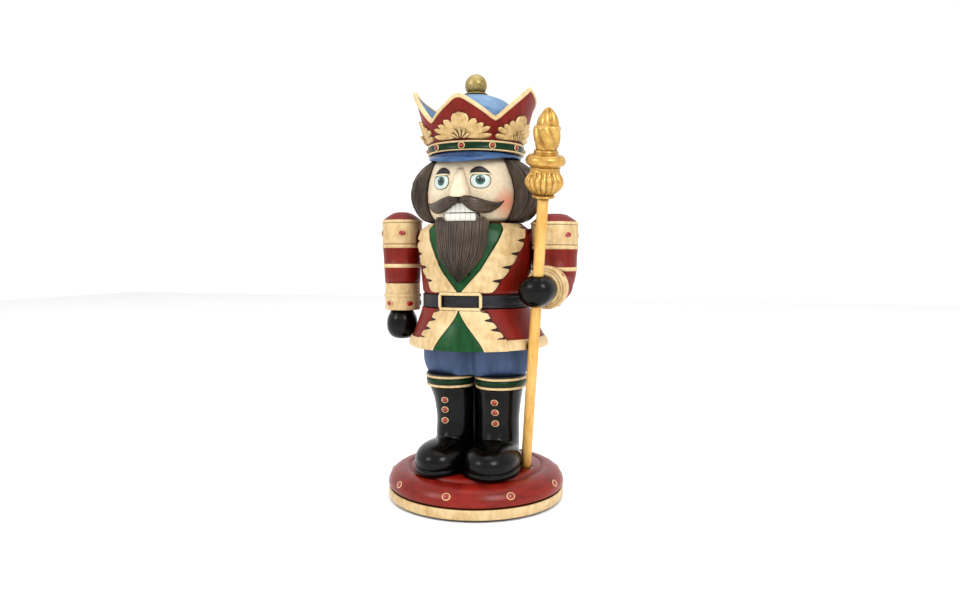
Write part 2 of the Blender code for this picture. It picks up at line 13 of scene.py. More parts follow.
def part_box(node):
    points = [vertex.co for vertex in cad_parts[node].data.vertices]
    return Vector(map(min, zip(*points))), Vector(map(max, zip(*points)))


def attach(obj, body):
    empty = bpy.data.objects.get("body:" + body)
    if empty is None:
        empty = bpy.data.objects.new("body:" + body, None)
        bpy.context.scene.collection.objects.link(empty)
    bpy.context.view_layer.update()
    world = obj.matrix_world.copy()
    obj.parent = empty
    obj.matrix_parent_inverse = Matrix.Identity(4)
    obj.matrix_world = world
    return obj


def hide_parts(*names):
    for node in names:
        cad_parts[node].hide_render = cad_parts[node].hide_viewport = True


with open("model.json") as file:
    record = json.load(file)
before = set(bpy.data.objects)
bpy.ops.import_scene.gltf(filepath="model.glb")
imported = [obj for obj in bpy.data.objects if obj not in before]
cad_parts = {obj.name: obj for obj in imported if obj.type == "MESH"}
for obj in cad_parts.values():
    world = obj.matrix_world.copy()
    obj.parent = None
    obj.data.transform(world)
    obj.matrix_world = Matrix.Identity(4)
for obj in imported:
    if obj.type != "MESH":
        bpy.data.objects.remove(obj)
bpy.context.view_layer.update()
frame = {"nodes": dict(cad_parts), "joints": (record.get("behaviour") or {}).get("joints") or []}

MM = 0.001
TAU = 2 * math.pi


def span(node):
    """The lowest and highest corner of a CAD node, in millimetres."""
    return tuple(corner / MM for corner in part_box(node))


# Levels and sizes that the frame gives, in millimetres
BASE_RADIUS = span("base_top")[1].x - 0.05       # a hair inside the CAD's turned edge
PLINTH_LOW, PLINTH_TOP = (corner.z for corner in span("base_plinth"))
BASE_TOP = span("base_top")[1].z
BOOT_TOP = span("boot_left")[1].z
BELT_LOW, BELT_TOP = (corner.z for corner in span("belt"))
BELT_RADIUS = span("belt")[1].x
BAND_LOW, BAND_TOP = (corner.z for corner in span("cap_band"))
BAND_RADIUS = span("cap_band")[1].x - 0.6
ARM_X = -(span("cuff_left")[0].x + span("cuff_left")[1].x) / 2
ARM_Y = (span("cuff_left")[0].y + span("cuff_left")[1].y) / 2
FIGURE_TOP = span("finial")[1].z
STAFF_LEAN = Vector(frame["joints"][1]["axis"]).normalized()

# Places and directions that two or more pieces share
STAFF_FOOT = Vector((44.2, -2.5, 23.6))
STAFF_BORE = 4.6
FIST = Vector((60.7, -35.3, 177.0))
FOREARM = Vector((-0.23, -0.965, -0.13)).normalized()
BOOT_X = 21.4
TOE_Y = -27

# Sections of the clothed body and the head: height, centre y, half width, reach to the front and to the back
SKIRT = ((129.0, 8.0, 58.4, 58.4, 58.4), (131.5, 8.0, 58.3, 58.3, 58.3), (141.0, 5.0, 54.8, 53.5, 54.8),
         (150.0, 2.5, 50.5, 49.0, 50.5), (158.0, 0.5, 46.8, 46.0, 47.0), (162.0, 0.0, 45.6, 45.3, 45.6))
COAT = ((162.3, 0.0, 42.8, 42.8, 42.8), (173.6, 0.0, 42.8, 42.8, 42.8), (174.2, 0.0, 44.8, 44.5, 44.5),
        (200.0, 0.0, 48.0, 42.5, 45.0), (216.0, 0.0, 49.0, 39.5, 43.0), (226.0, 0.0, 46.5, 36.5, 40.0),
        (231.5, 0.0, 38.0, 33.0, 35.0))
HEAD = ((231.8, 0.0, 31.0, 33.0, 27.0), (234.0, 0.0, 34.8, 37.0, 30.0), (240.0, 0.0, 38.4, 38.5, 31.0),
        (248.0, 0.0, 40.8, 39.3, 32.0), (257.0, 0.0, 41.0, 39.8, 32.0), (266.0, 0.0, 39.6, 40.0, 32.0),
        (276.0, 0.0, 36.4, 39.0, 31.5), (281.0, 0.0, 34.4, 37.0, 30.5), (283.6, 0.0, 32.5, 34.5, 29.5))


# ---------------------------------------------------------------- shapes


def lerp(a, b, share):
    return a + (b - a) * share


def smoothstep(low, high, value):
    share = min(1.0, max(0.0, (value - low) / (high - low)))
    return share * share * (3 - 2 * share)


def between(sections, height):
    """Values at a height, straight between the two sections around it."""
    for low, high in zip(sections, sections[1:]):
        if height <= high[0]:
            break
    share = min(1.0, max(0.0, (height - low[0]) / (high[0] - low[0])))
    return [lerp(a, b, share) for a, b in zip(low[1:], high[1:])]


def eased(sections, height, reach=1.6):
    """As between, with the corners at the listed heights rounded off."""
    around = [between(sections, height + reach * step) for step in (-1, -0.5, 0, 0.5, 1)]
    return [sum(values) / len(values) for values in zip(*around)]


def on_body(sections, degrees, height, lift=0.0):
    """A point lifted off a lofted body, at an angle from its front towards +X."""
    y, half, front, back = eased(sections, height)
    angle = math.radians(degrees)
    reach = (front if math.cos(angle) > 0 else back) + lift
    return Vector(((half + lift) * math.sin(angle), y - reach * math.cos(angle), height))


def catmull(points, per):
    """A smooth line through points of any number of values, with so many steps between each two."""
    line = []
    for i in range(len(points) - 1):
        a, b, c, d = (points[min(max(k, 0), len(points) - 1)] for k in (i - 1, i, i + 1, i + 2))
        for step in range(per):
            t = step / per
            line.append(tuple(0.5 * (2 * q + (r - p) * t + (2 * p - 5 * q + 4 * r - s) * t * t
                                     + (3 * q - p - 3 * r + s) * t ** 3) for p, q, r, s in zip(a, b, c, d)))
    return line + [tuple(points[-1])]


def filleted(points, radius, steps=4):
    """A line of (r, z) points with its inner corners rounded."""
    line = [Vector(points[0])]
    for before, corner, after in zip(points, points[1:], points[2:]):
        before, corner, after = Vector(before), Vector(corner), Vector(after)
        reach = min(radius, (before - corner).length * 0.48, (after - corner).length * 0.48)
        start = corner + (before - corner).normalized() * reach
        end = corner + (after - corner).normalized() * reach
        for step in range(steps + 1):
            t = step / steps
            line.append(start.lerp(corner, t).lerp(corner.lerp(end, t), t))
    return [tuple(p) for p in line + [Vector(points[-1])]]


def ring(radius, height, count, centre=(0.0, 0.0)):
    if radius < 1e-6:
        return [Vector((centre[0], centre[1], height))]
    return [Vector((centre[0] + radius * math.sin(TAU * i / count),
                    centre[1] - radius * math.cos(TAU * i / count), height)) for i in range(count)]


def turned(profile, count, centre=(0.0, 0.0)):
    return [ring(r, z, count, centre) for r, z in profile]


def oval(x, y, half, front, back, height, count):
    points = []
    for i in range(count):
        angle = TAU * i / count
        reach = front if math.cos(angle) > 0 else back
        points.append(Vector((x + half * math.sin(angle), y - reach * math.cos(angle), height)))
    return points


def standing(foot, axis):
    """The matrix that stands a shape made along +Z on a point, pointing along an axis."""
    turn = Vector((0, 0, 1)).rotation_difference(Vector(axis))
    return Matrix.Translation(Vector(foot)) @ turn.to_matrix().to_4x4()


def tube(path, radii, count):
    """Loops of a round rod along an open path, with a radius for each point."""
    loops = []
    side = None
    for i, (point, radius) in enumerate(zip(path, radii)):
        along = (path[min(i + 1, len(path) - 1)] - path[max(i - 1, 0)]).normalized()
        side = side or along.orthogonal().normalized()
        side = (side - along * side.dot(along)).normalized()
        up = along.cross(side)
        loops.append([point + radius * (side * math.cos(TAU * k / count) + up * math.sin(TAU * k / count))
                      for k in range(count)])
    return loops


def upward(point, along):
    """Up, or towards the back where a rod itself runs upright."""
    return Vector((0, 0, 1)) if abs(along.z) < 0.9 else Vector((0, 1, 0))


def outward(point, along):
    """Level and away from the figure's middle."""
    return Vector((point.x, point.y, 0)).normalized()


def closed_rod(path, radius, faced, count=10):
    """Loops of a rod along a closed path, to be skinned closed; faced gives the way each ring is turned."""
    loops = []
    for i, point in enumerate(path):
        along = (path[(i + 1) % len(path)] - path[i - 1]).normalized()
        out = faced(point, along)
        out = (out - along * out.dot(along)).normalized()
        side = along.cross(out)
        loops.append([point + radius * (out * math.cos(TAU * k / count) + side * math.sin(TAU * k / count))
                      for k in range(count)])
    return loops


def spread(low, high, steps):
    """Evenly spaced values from low to high."""
    return [low + (high - low) * i / steps for i in range(steps + 1)]


def cylinder(radius, low, high, count, stand):
    """Loops of a plain round bar, to cut with, standing by a matrix."""
    return [[stand @ p for p in loop] for loop in turned(((0, low), (radius, low), (radius, high), (0, high)),
                                                         count)]


def rumple(point, size, amount):
    """A small smooth wandering of a hand-made surface, the same every run."""
    return noise.noise(Vector(point) / size) * amount


class Piece:
    """Gathers closed skins, each with one of the piece's materials, into one object."""

    def __init__(self, name, *materials):
        self.name, self.materials, self.bm = name, materials, bmesh.new()

    def skin(self, loops, paint=0, closed=False, matrix=None):
        """Skins a row of loops. paint is a material's place, or a function of the row and column."""
        rows = [[self.bm.verts.new(matrix @ Vector(p) if matrix else Vector(p)) for p in loop]
                for loop in loops]
        pairs = list(zip(rows, rows[1:])) + ([(rows[-1], rows[0])] if closed else [])
        faces = []
        for row, (low, high) in enumerate(pairs):
            count = max(len(low), len(high))
            for i in range(count):
                j = (i + 1) % count
                around = (low[i % len(low)], low[j % len(low)], high[j % len(high)], high[i % len(high)])
                face = self.bm.faces.new(list(dict.fromkeys(around)))
                face.material_index = paint(row, i) if callable(paint) else paint
                faces.append(face)
        if not closed:
            for end, row in ((rows[0], 0), (rows[-1], len(rows) - 2)):
                if len(end) > 2:
                    cap = self.bm.faces.new(end)
                    cap.material_index = paint(row, 0) if callable(paint) else paint
                    faces.append(cap)
        bmesh.ops.recalc_face_normals(self.bm, faces=faces)
        return self

    def done(self, body="root", hides=(), slot=None):
        """Makes the object in metres and puts it on its body, in place of the CAD nodes it hides."""
        bmesh.ops.scale(self.bm, verts=self.bm.verts, vec=(MM, MM, MM))
        mesh = bpy.data.meshes.new(self.name)
        self.bm.to_mesh(mesh)
        self.bm.free()
        for material in self.materials:
            mesh.materials.append(material)
        mesh.shade_smooth()
        piece = bpy.data.objects.new(self.name, mesh)
        bpy.context.scene.collection.objects.link(piece)
        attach(piece, body)
        if hides:
            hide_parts(*hides)
        return piece


# ---------------------------------------------------------------- paints


def link(tree, kind, inputs=None, **settings):
    """A shader node with its inputs set to values or linked to other nodes' outputs."""
    made = tree.nodes.new(kind)
    for name, value in settings.items():
        setattr(made, name, value)
    for name, value in (inputs or {}).items():
        if isinstance(value, bpy.types.NodeSocket):
            tree.links.new(value, made.inputs[name])
        else:
            made.inputs[name].default_value = value
    return made


def mixed(tree, share, first, second, blend="MIX"):
    """The colour between two colours, as an output socket."""
    mix = tree.nodes.new("ShaderNodeMix")
    mix.data_type, mix.blend_type = "RGBA", blend
    for socket, value in ((mix.inputs[0], share), (mix.inputs[6], first), (mix.inputs[7], second)):
        if isinstance(value, bpy.types.NodeSocket):
            tree.links.new(value, socket)
        else:
            socket.default_value = (*value, 1.0) if isinstance(value, tuple) else value
    return mix.outputs[2]


def ranged(tree, value, low, high, to_low=0.0, to_high=1.0):
    return link(tree, "ShaderNodeMapRange", {"Value": value, "From Min": low, "From Max": high,
                                             "To Min": to_low, "To Max": to_high}).outputs["Result"]


def times(tree, first, second):
    return link(tree, "ShaderNodeMath", {0: first, 1: second}, operation="MULTIPLY").outputs[0]


def srgb(*parts):
    """Linear colour from the 0 to 255 values it is named by."""
    return tuple((part / 255) ** 2.2 for part in parts)


def blank(name, metallic, coat, coat_rough):
    """A new material with its node tree, its shader and the piece's own coordinates."""
    material = bpy.data.materials.new(name)
    material.use_nodes = True
    tree = material.node_tree
    shader = tree.nodes["Principled BSDF"]
    shader.inputs["Metallic"].default_value = metallic
    shader.inputs["Coat Weight"].default_value = coat
    shader.inputs["Coat Roughness"].default_value = coat_rough
    return material, tree, shader, tree.nodes.new("ShaderNodeTexCoord").outputs["Object"]


def painted(name, colour, light, dark, rough=0.42, metallic=0.0, coat=0.0, streak=(1, 1, 1), grain=260, antiquing_and_shade=0.75,
            rub=0.35, reach=3.5, bump=0.25, blotch=0.5, gloss=0.3, extra=None):
    """Hand-brushed paint: streaks, blotches, a darkening of the recesses that is partly the figure's antiquing
    and partly painted shade, and rubbed, lighter edges.
    """
    material, tree, shader, place = blank(name, metallic, coat, 0.18)
    colour, light, dark = srgb(*colour), srgb(*light), srgb(*dark)
    stretched = link(tree, "ShaderNodeMapping", {"Vector": place, "Scale": streak}).outputs[0]
    brush = link(tree, "ShaderNodeTexNoise", {"Vector": stretched, "Scale": grain, "Detail": 5.0,
                                              "Roughness": 0.62}).outputs[0]
    cloud = link(tree, "ShaderNodeTexNoise", {"Vector": place, "Scale": 42.0, "Detail": 3.0}).outputs[0]
    base = mixed(tree, ranged(tree, brush, 0.30, 0.72), dark, light)
    base = mixed(tree, 0.55, base, colour)
    base = mixed(tree, times(tree, ranged(tree, cloud, 0.42, 0.75), blotch), base, light)
    if extra:
        base = extra(tree, place, base)
    edge = link(tree, "ShaderNodeNewGeometry").outputs["Pointiness"]
    edge = times(tree, ranged(tree, edge, 0.52, 0.60), rub)
    base = mixed(tree, edge, base, tuple(min(1.0, c * 1.25 + 0.03) for c in light))
    # Painted shade: ambient occlusion within reach darkens recesses, creases and gaps between parts towards a
    # near-black of the dark colour. This is partly the antiquing the figure has and partly shade painted in.
    recess_shade_and_antiquing = link(tree, "ShaderNodeAmbientOcclusion", {"Distance": reach * MM}, samples=6).outputs["AO"]
    recess_shade_and_antiquing = times(tree, ranged(tree, recess_shade_and_antiquing, 0.30, 0.80, 1.0, 0.0), antiquing_and_shade)
    base = mixed(tree, recess_shade_and_antiquing, base, tuple(c * 0.22 for c in dark))
    tree.links.new(base, shader.inputs["Base Color"])
    tree.links.new(ranged(tree, brush, 0.3, 0.7, rough - 0.07, rough + 0.10), shader.inputs["Roughness"])
    shader.inputs["Specular IOR Level"].default_value = gloss
    tree.links.new(link(tree, "ShaderNodeBump",
                        {"Strength": bump, "Distance": 0.25 * MM, "Height": brush}).outputs[0],
                   shader.inputs["Normal"])
    return material


def plain(name, colour, rough=0.3, metallic=0.0, coat=0.0, grain=900, vary=0.12):
    """A small hard part: nearly one colour, with a little speckle."""
    material, tree, shader, place = blank(name, metallic, coat, 0.08)
    speckle = link(tree, "ShaderNodeTexNoise", {"Vector": place, "Scale": grain, "Detail": 3.0}).outputs[0]
    low, high = (tuple(min(1.0, c * k) for c in srgb(*colour)) for k in (1 - vary, 1 + vary))
    tree.links.new(mixed(tree, ranged(tree, speckle, 0.35, 0.65), low, high), shader.inputs["Base Color"])
    tree.links.new(ranged(tree, speckle, 0.3, 0.7, rough * 0.85, rough * 1.2), shader.inputs["Roughness"])
    return material


def blushed(tree, place, base):
    """Rosy cheeks, the one towards +X the stronger."""
    for side, strength in ((-1, 0.22), (1, 0.72)):
        cheek = link(tree, "ShaderNodeVectorMath", {0: place, 1: (side * 33 * MM, -22 * MM, 247 * MM)},
                     operation="DISTANCE").outputs["Value"]
        base = mixed(tree, ranged(tree, cheek, 3 * MM, 14 * MM, strength, 0.0), base, srgb(218, 122, 92))
    return base


FELT = plain("felt", (28, 62, 40), 0.95, grain=2500, vary=0.35)
RED = painted("red_paint", (112, 26, 16), (138, 40, 26), (70, 17, 12), 0.42, coat=0.05,
              streak=(1, 1, 0.16))
RED_BASE = painted("red_paint_base", (108, 26, 17), (152, 42, 27), (66, 18, 13), 0.34, coat=0.15,
                   streak=(0.35, 0.35, 1.6), reach=5)
GOLD = painted("gold_paint", (194, 164, 114), (228, 208, 168), (142, 102, 54), 0.42, metallic=0.1,
               streak=(1, 1, 0.5), antiquing_and_shade=1.0, reach=3.4)
GOLD_LEAF = painted("gold_leaf", (192, 160, 106), (228, 204, 156), (118, 80, 38), 0.40, metallic=0.15,
                    antiquing_and_shade=1.0, reach=3.6, rub=0.6)
GREEN = painted("green_paint", (10, 66, 30), (20, 90, 42), (5, 34, 16), 0.36, coat=0.08,
                streak=(1, 1, 0.2), rub=0.2)
DEEP_GREEN = painted("deep_green_paint", (8, 48, 22), (14, 62, 34), (4, 26, 14), 0.36, coat=0.1, gloss=0.2,
                     rub=0.2)
BLUE = painted("blue_paint", (98, 130, 164), (144, 166, 192), (62, 92, 128), 0.45,
               streak=(0.6, 0.6, 0.6), rub=0.2, reach=6)
BRIM_BLUE = painted("brim_blue_paint", (30, 62, 104), (76, 112, 152), (14, 34, 66), 0.24, coat=0.3, gloss=0.2,
                    streak=(0.3, 0.3, 2), reach=4)
TROUSER = painted("trouser_paint", (66, 84, 114), (90, 108, 138), (44, 56, 82), 0.5,
                  streak=(1, 1, 0.12), reach=6)
BLACK = painted("black_paint", (10, 10, 9), (20, 20, 18), (5, 5, 5), 0.24, coat=0.16, gloss=0.2, rub=0.04,
                bump=0.02, grain=120, antiquing_and_shade=0.5)
BELT_PAINT = painted("belt_paint", (34, 34, 38), (54, 54, 58), (16, 16, 19), 0.42, streak=(0.3, 0.3, 1.5),
                     rub=0.3)
HAIR = painted("hair_paint", (44, 35, 28), (104, 90, 76), (18, 13, 10), 0.35, coat=0.12, streak=(1, 1, 0.05),
               grain=420, rub=0.6, antiquing_and_shade=0.95, reach=2.5)
LIP_HAIR = painted("lip_hair_paint", (44, 33, 26), (98, 82, 66), (20, 14, 11), 0.32, coat=0.25,
                   streak=(0.1, 1, 1), grain=620, rub=0.7, antiquing_and_shade=0.8, reach=2)
SKIN = painted("skin_paint", (216, 200, 172), (228, 216, 194), (190, 168, 134), 0.42, coat=0.12, rub=0.1,
               antiquing_and_shade=0.7, reach=5, blotch=0.3, extra=blushed)
WHITE = plain("tooth_paint", (226, 224, 214), 0.3, coat=0.3, vary=0.03)
GREY_LINE = plain("tooth_line_paint", (158, 156, 150), 0.5)
EYE_WHITE_AND_HIGHLIGHT = plain("eye_white_and_highlight_paint", (192, 202, 196), 0.25, coat=0.5, vary=0.03)
EYE_LINE = plain("eye_line_paint", (96, 102, 84), 0.4)
LID = plain("eye_lid_paint", (214, 202, 172), 0.4)
IRIS = plain("iris_paint", (36, 92, 88), 0.2, coat=0.6, grain=1800, vary=0.35)
PUPIL = plain("pupil_paint", (8, 16, 18), 0.15, coat=0.8)
BROW = plain("brow_paint", (36, 25, 20), 0.45, grain=1500, vary=0.3)
JEWEL = plain("jewel_paint", (140, 22, 20), 0.12, coat=1.0, grain=500, vary=0.3)
# Painted shadow: dark red-brown for the slightly wider plates under the lapels and the thin lines in the sleeves'
# grooves, where shade falls.
SHADOW_LINE = plain("painted_shadow_line_paint", (44, 20, 13), 0.5)
BLACK_LINE = plain("black_line_paint", (18, 22, 24), 0.4)
STAFF_GOLD = painted("staff_paint", (208, 162, 88), (232, 196, 128), (168, 118, 54), 0.36, metallic=0.25,
                     streak=(1, 1, 0.06), grain=420, antiquing_and_shade=0.6)
HEAD_GOLD = painted("staff_head_paint", (186, 142, 72), (226, 188, 112), (112, 74, 28), 0.28, metallic=0.55,
                    coat=0.25, antiquing_and_shade=1.0, reach=3.2, rub=0.6)
BALL_GOLD = painted("finial_paint", (150, 130, 76), (196, 180, 128), (88, 70, 36), 0.36, metallic=0.45,
                    grain=380, antiquing_and_shade=0.8, rub=0.4)


# ---------------------------------------------------------------- shared pieces


def lifted_plate(piece, sections, rows, columns, bottom, top, paint=0):
    """A plate on a lofted body: rows of (height, first angle, last angle), top a lift or a rule for one."""
    loops = []
    for height, first, last in rows:
        shares = [i / (columns - 1) for i in range(columns)]
        rise = [top(u, height) if callable(top) else top for u in shares]
        outer = [on_body(sections, lerp(first, last, u), height, r) for u, r in zip(shares, rise)]
        inner = [on_body(sections, lerp(first, last, u), height, bottom) for u in reversed(shares)]
        loops.append(outer + inner)
    return piece.skin(loops, paint)


def facing(foot, out):
    """The matrix that stands a shape on a point with its X level, its Y upwards and its Z outwards."""
    out = Vector(out).normalized()
    side = Vector((0, 0, 1)).cross(out).normalized()
    turn = Matrix((side, out.cross(side), out)).transposed()
    return Matrix.Translation(Vector(foot)) @ turn.to_4x4()


def jewel(piece, foot, out, radius, wide=1.0, gem=0, rim=1):
    """A domed red jewel, round or oval, in a thin raised gold rim."""
    stand = facing(foot, out) @ Matrix.Diagonal((wide, 1, 1, 1))
    dome = filleted([(0, -0.5), (radius, -0.5), (radius * 0.98, radius * 0.22), (radius * 0.6, radius * 0.5),
                     (0, radius * 0.6)], radius * 0.3, 3)
    piece.skin(turned(dome, 20), gem, matrix=stand)
    piece.skin([ring(radius * 1.04 + radius * 0.15 * math.cos(a), radius * 0.10 + radius * 0.18 * math.sin(a),
                     24) for a in (TAU * k / 8 for k in range(8))], rim, closed=True, matrix=stand)


def around(centre, radius, degrees, height):
    """A point on an upright cylinder and its outward direction."""
    out = Vector((math.sin(math.radians(degrees)), -math.cos(math.radians(degrees)), 0))
    return Vector((centre[0], centre[1], height)) + out * radius, out


def cut(piece, *tools):
    """Takes closed shapes, each a list of loops, out of a finished piece."""
    for loops in tools:
        cutter = Piece("cutting_tool").skin(loops).done()
        modifier = piece.modifiers.new("cut", "BOOLEAN")
        modifier.object, modifier.solver = cutter, "EXACT"
        bpy.context.view_layer.update()
        whole = piece.evaluated_get(bpy.context.evaluated_depsgraph_get())
        mesh = bpy.data.meshes.new_from_object(whole)
        piece.modifiers.clear()
        piece.data = mesh
        bpy.data.objects.remove(cutter)


def slab(outline, half):
    """Loops of a (y, z) outline given a width along X."""
    return [[Vector((x, y, z)) for y, z in outline] for x in (-half, half)]


def melt(piece, voxel, rounds):
    """Fuses a piece's overlapping skins into one smooth surface, as the modelled clay is."""
    remesh = piece.modifiers.new("fuse", "REMESH")
    remesh.mode, remesh.voxel_size, remesh.use_smooth_shade = "VOXEL", voxel * MM, True
    smooth = piece.modifiers.new("smooth", "SMOOTH")
    smooth.factor, smooth.iterations = 0.5, rounds
    bpy.context.view_layer.update()
    mesh = bpy.data.meshes.new_from_object(piece.evaluated_get(bpy.context.evaluated_depsgraph_get()))
    piece.modifiers.clear()
    piece.data = mesh
    mesh.shade_smooth()


# ---------------------------------------------------------------- base


def make_base():
    r = BASE_RADIUS
    profile = filleted([(0, PLINTH_LOW), (r - 0.6, PLINTH_LOW), (r, PLINTH_TOP - 2), (r - 0.5, PLINTH_TOP),
                        (0, PLINTH_TOP)], 1.4)
    Piece("plinth_disc", GOLD).skin(turned(profile, 128)).done(hides=("base_plinth",), slot="gold_paint")
    shoulder = catmull([(r - 2.4, PLINTH_TOP + 0.3), (r - 0.4, 12), (r, 14.6), (r - 0.9, 18), (r - 4, 22.4),
                        (r - 8.5, 25.2), (r - 13, 26.3), (r - 16, 26.2), (r - 17.6, 25.2), (r - 18.8, 25.4),
                        (r - 20.2, 27.2), (r - 22.5, BASE_TOP)], 4)
    profile = [(0, PLINTH_TOP + 0.3)] + shoulder + [(40, BASE_TOP), (0, BASE_TOP)]
    top = Piece("base_cushion", RED_BASE).skin(turned(profile, 160))
    cut(top.done(hides=("base_top",), slot="red_paint"),
        cylinder(STAFF_BORE, -0.3, 20, 32, standing(STAFF_FOOT, STAFF_LEAN)))

    slope = Vector((0, -7.0, 4.2)).normalized()
    middle = Vector((0, -(r - 2.3), 18.9)) + 0.4 * slope
    jewels = Piece("base_jewels", JEWEL, GOLD_LEAF)
    for turn in spread(-1.5, 318.5, 8):
        spin = Matrix.Rotation(math.radians(turn), 3, "Z")
        jewel(jewels, spin @ middle, spin @ slope, 2.5, 1.2)
    jewels.done(hides=[f"base_jewel_{i + 1}" for i in range(9)], slot="jewel_paint")


# ---------------------------------------------------------------- legs

SHAFTS = {
    "left": ((30, 19.5, 4, 16, 22, 21), (45, 19, 3, 16, 22.5, 21.5), (52, 18.6, 2, 16.2, 22.6, 22),
             (58, 18.3, 2, 16.6, 20.8, 21.5), (66, 18.2, 2, 16.6, 19.5, 20.5), (75, 18.6, 1.5, 17.2, 19.4, 21),
             (84, 19.3, 1, 18.1, 20.2, 22), (BOOT_TOP + 0.2, 20.6, 0, 20.2, 22.6, 24)),
    "right": ((30, 19.8, 4, 16.6, 22, 21), (45, 19.6, 3, 17.0, 22.5, 21.5), (52, 19.5, 2, 17.6, 22.6, 22),
              (58, 19.4, 2, 17.6, 20.8, 21.5), (66, 19.4, 2, 17.6, 19.5, 20.5), (75, 19.7, 1.5, 18.1, 19.4, 21),
              (84, 20.1, 1, 18.9, 20.2, 22), (BOOT_TOP + 0.2, 20.6, 0, 20.2, 22.6, 24)),
}
TOE = ((31, 0.95, 1.0), (33, 0.985, 1.0), (37, 1.0, 1.0), (41, 0.97, 0.98), (45, 0.87, 0.9),
       (48.4, 0.70, 0.72), (50.6, 0.48, 0.5), (51.8, 0.22, 0.3), (52.1, 0.03, 0.05))


def make_boot(side, sign, width):
    boot = Piece(f"boot_{side}_cast", BLACK)
    rows = catmull(SHAFTS[side], 5)
    boot.skin([oval(sign * x, y, w, f, b, z, 48) for z, x, y, w, f, b in rows])
    boot.skin([oval(sign * BOOT_X, TOE_Y, width * s, 28 * s, 44 * t, z, 48) for z, s, t in catmull(TOE, 4)])
    made = boot.done(hides=(f"boot_{side}",), slot="black_paint")
    melt(made, 0.9, 5)
    sole = Piece(f"boot_{side}_sole", BLACK)
    edge = filleted([(0.0, BASE_TOP + 0.1), (0.985, BASE_TOP + 0.1), (1.0, 30), (0.99, 32.2), (0.93, 32.9),
                     (0.0, 32.9)], 0.8)
    edge = [(max(share, 0.02), z) for share, z in edge]
    sole.skin([oval(sign * BOOT_X, TOE_Y, share * (width + 0.5), share * 28.6, share * 52, z, 64)
               for share, z in edge])
    sole.done(slot="black_paint")


def make_boot_web():
    """Where the two boots were cast side by side, they meet along a web."""
    rows = ((29, 4.6), (45, 4.4), (60, 3.4), (75, 2.6), (93.8, 2.2))
    web = Piece("boot_web", BLACK)
    web.skin([oval(0.2, 6, half, 13, 13, z, 32) for z, half in catmull(rows, 4)])
    web.done(slot="black_paint")


def shin(side, height):
    """The boot's front at a height, and how fast it slopes."""
    def front(z):
        _, y, _, reach, _ = between(SHAFTS[side], z)
        return y - reach
    return front(height), (front(height + 2) - front(height - 2)) / 4


def make_legs():
    cuffs = Piece("boot_cuffs", DEEP_GREEN, GOLD, BLACK_LINE)
    band = ((94.3, 19.6, 1), (94.4, 20.9, 1), (95.2, 21.5, 1), (96.1, 21.2, 1), (96.5, 20.6, 2),
            (97.0, 20.6, 2), (97.2, 20.9, 0), (99.4, 21.5, 0), (101.2, 21.1, 0), (101.4, 20.8, 2),
            (101.8, 20.8, 1), (102.1, 21.5, 1), (102.9, 21.9, 1), (103.7, 21.5, 1), (104.0, 20.9, 2),
            (104.3, 21.3, 2), (105.1, 21.3, 2), (105.5, 20.4, 2))
    jewels = Piece("boot_buttons", JEWEL, GOLD_LEAF)
    for side, sign, width in (("left", -1, 21.6), ("right", 1, 22.6)):
        make_boot(side, sign, width)
        loops = [oval(sign * 21.9, 0, w, w + 3.2, w + 4, z, 64) for z, w, _ in band]
        cuffs.skin(loops, lambda row, column: band[min(row, len(band) - 1)][2])
        for height, x in ((65.9, 22.0), (75.1, 21.8), (83.6, 21.6)):
            y, slope = shin(side, height)
            jewel(jewels, (sign * x, y + 0.1, height), (0, -1, slope), 2.3, 1.15)
    cuffs.done(hides=("boot_cuff_left", "boot_cuff_right"), slot="green_paint")
    names = [f"boot_button_{side}_{i}" for side in ("left", "right") for i in (1, 2, 3)]
    jewels.done(hides=names, slot="jewel_paint")
    make_boot_web()
    make_trousers()


def make_trousers():
    """Both legs in one casting, pinched along the crease, with shallow folds over the boots."""
    rows = catmull(((105, 42.3, 21.3), (109, 44.6, 23.2), (115, 46.2, 24.8), (123, 46.6, 26),
                    (131.2, 45.6, 26)), 5)
    loops = []
    for z, half, depth in rows:
        loop = oval(0, 0, half, depth, depth + 2, z, 160)
        for p in loop:
            pinch = 0.30 * math.exp(-((p.x / 6.5) ** 2)) + 0.05 * math.exp(-((p.x / 2.2) ** 2))
            folds = 0.35 * math.sin(p.x * 0.42 + 0.05 * z) * math.sin(z * 0.2)
            p.y *= 1 - pinch + folds * 0.012
            p.x *= 1 + 0.002 * math.sin(z * 0.5)
        loops.append(loop)
    Piece("trouser_legs", TROUSER).skin(loops).done(hides=("trousers",), slot="trouser_paint")


# ---------------------------------------------------------------- coat


SLIT_HALF = 1.3


def scallops(height, first, count, pitch, depth):
    """How far a scalloped edge draws in at a height: rounded tabs parted by narrow slits."""
    place = (height - first) / pitch
    if place < 0 or place > count:
        return 0.0
    share = place % 1
    round_in = (1 - math.sqrt(max(0.0, 1 - (2 * share - 1) ** 2))) ** 1.1
    slit = math.exp(-(min(share, 1 - share) * pitch / SLIT_HALF) ** 4)
    return depth * (0.55 * round_in + 0.95 * slit)


def panel_reach(height):
    """Half the angle that the apron takes up at a height."""
    return 21.5 * smoothstep(165, 124, height) ** 0.9 + 0.4


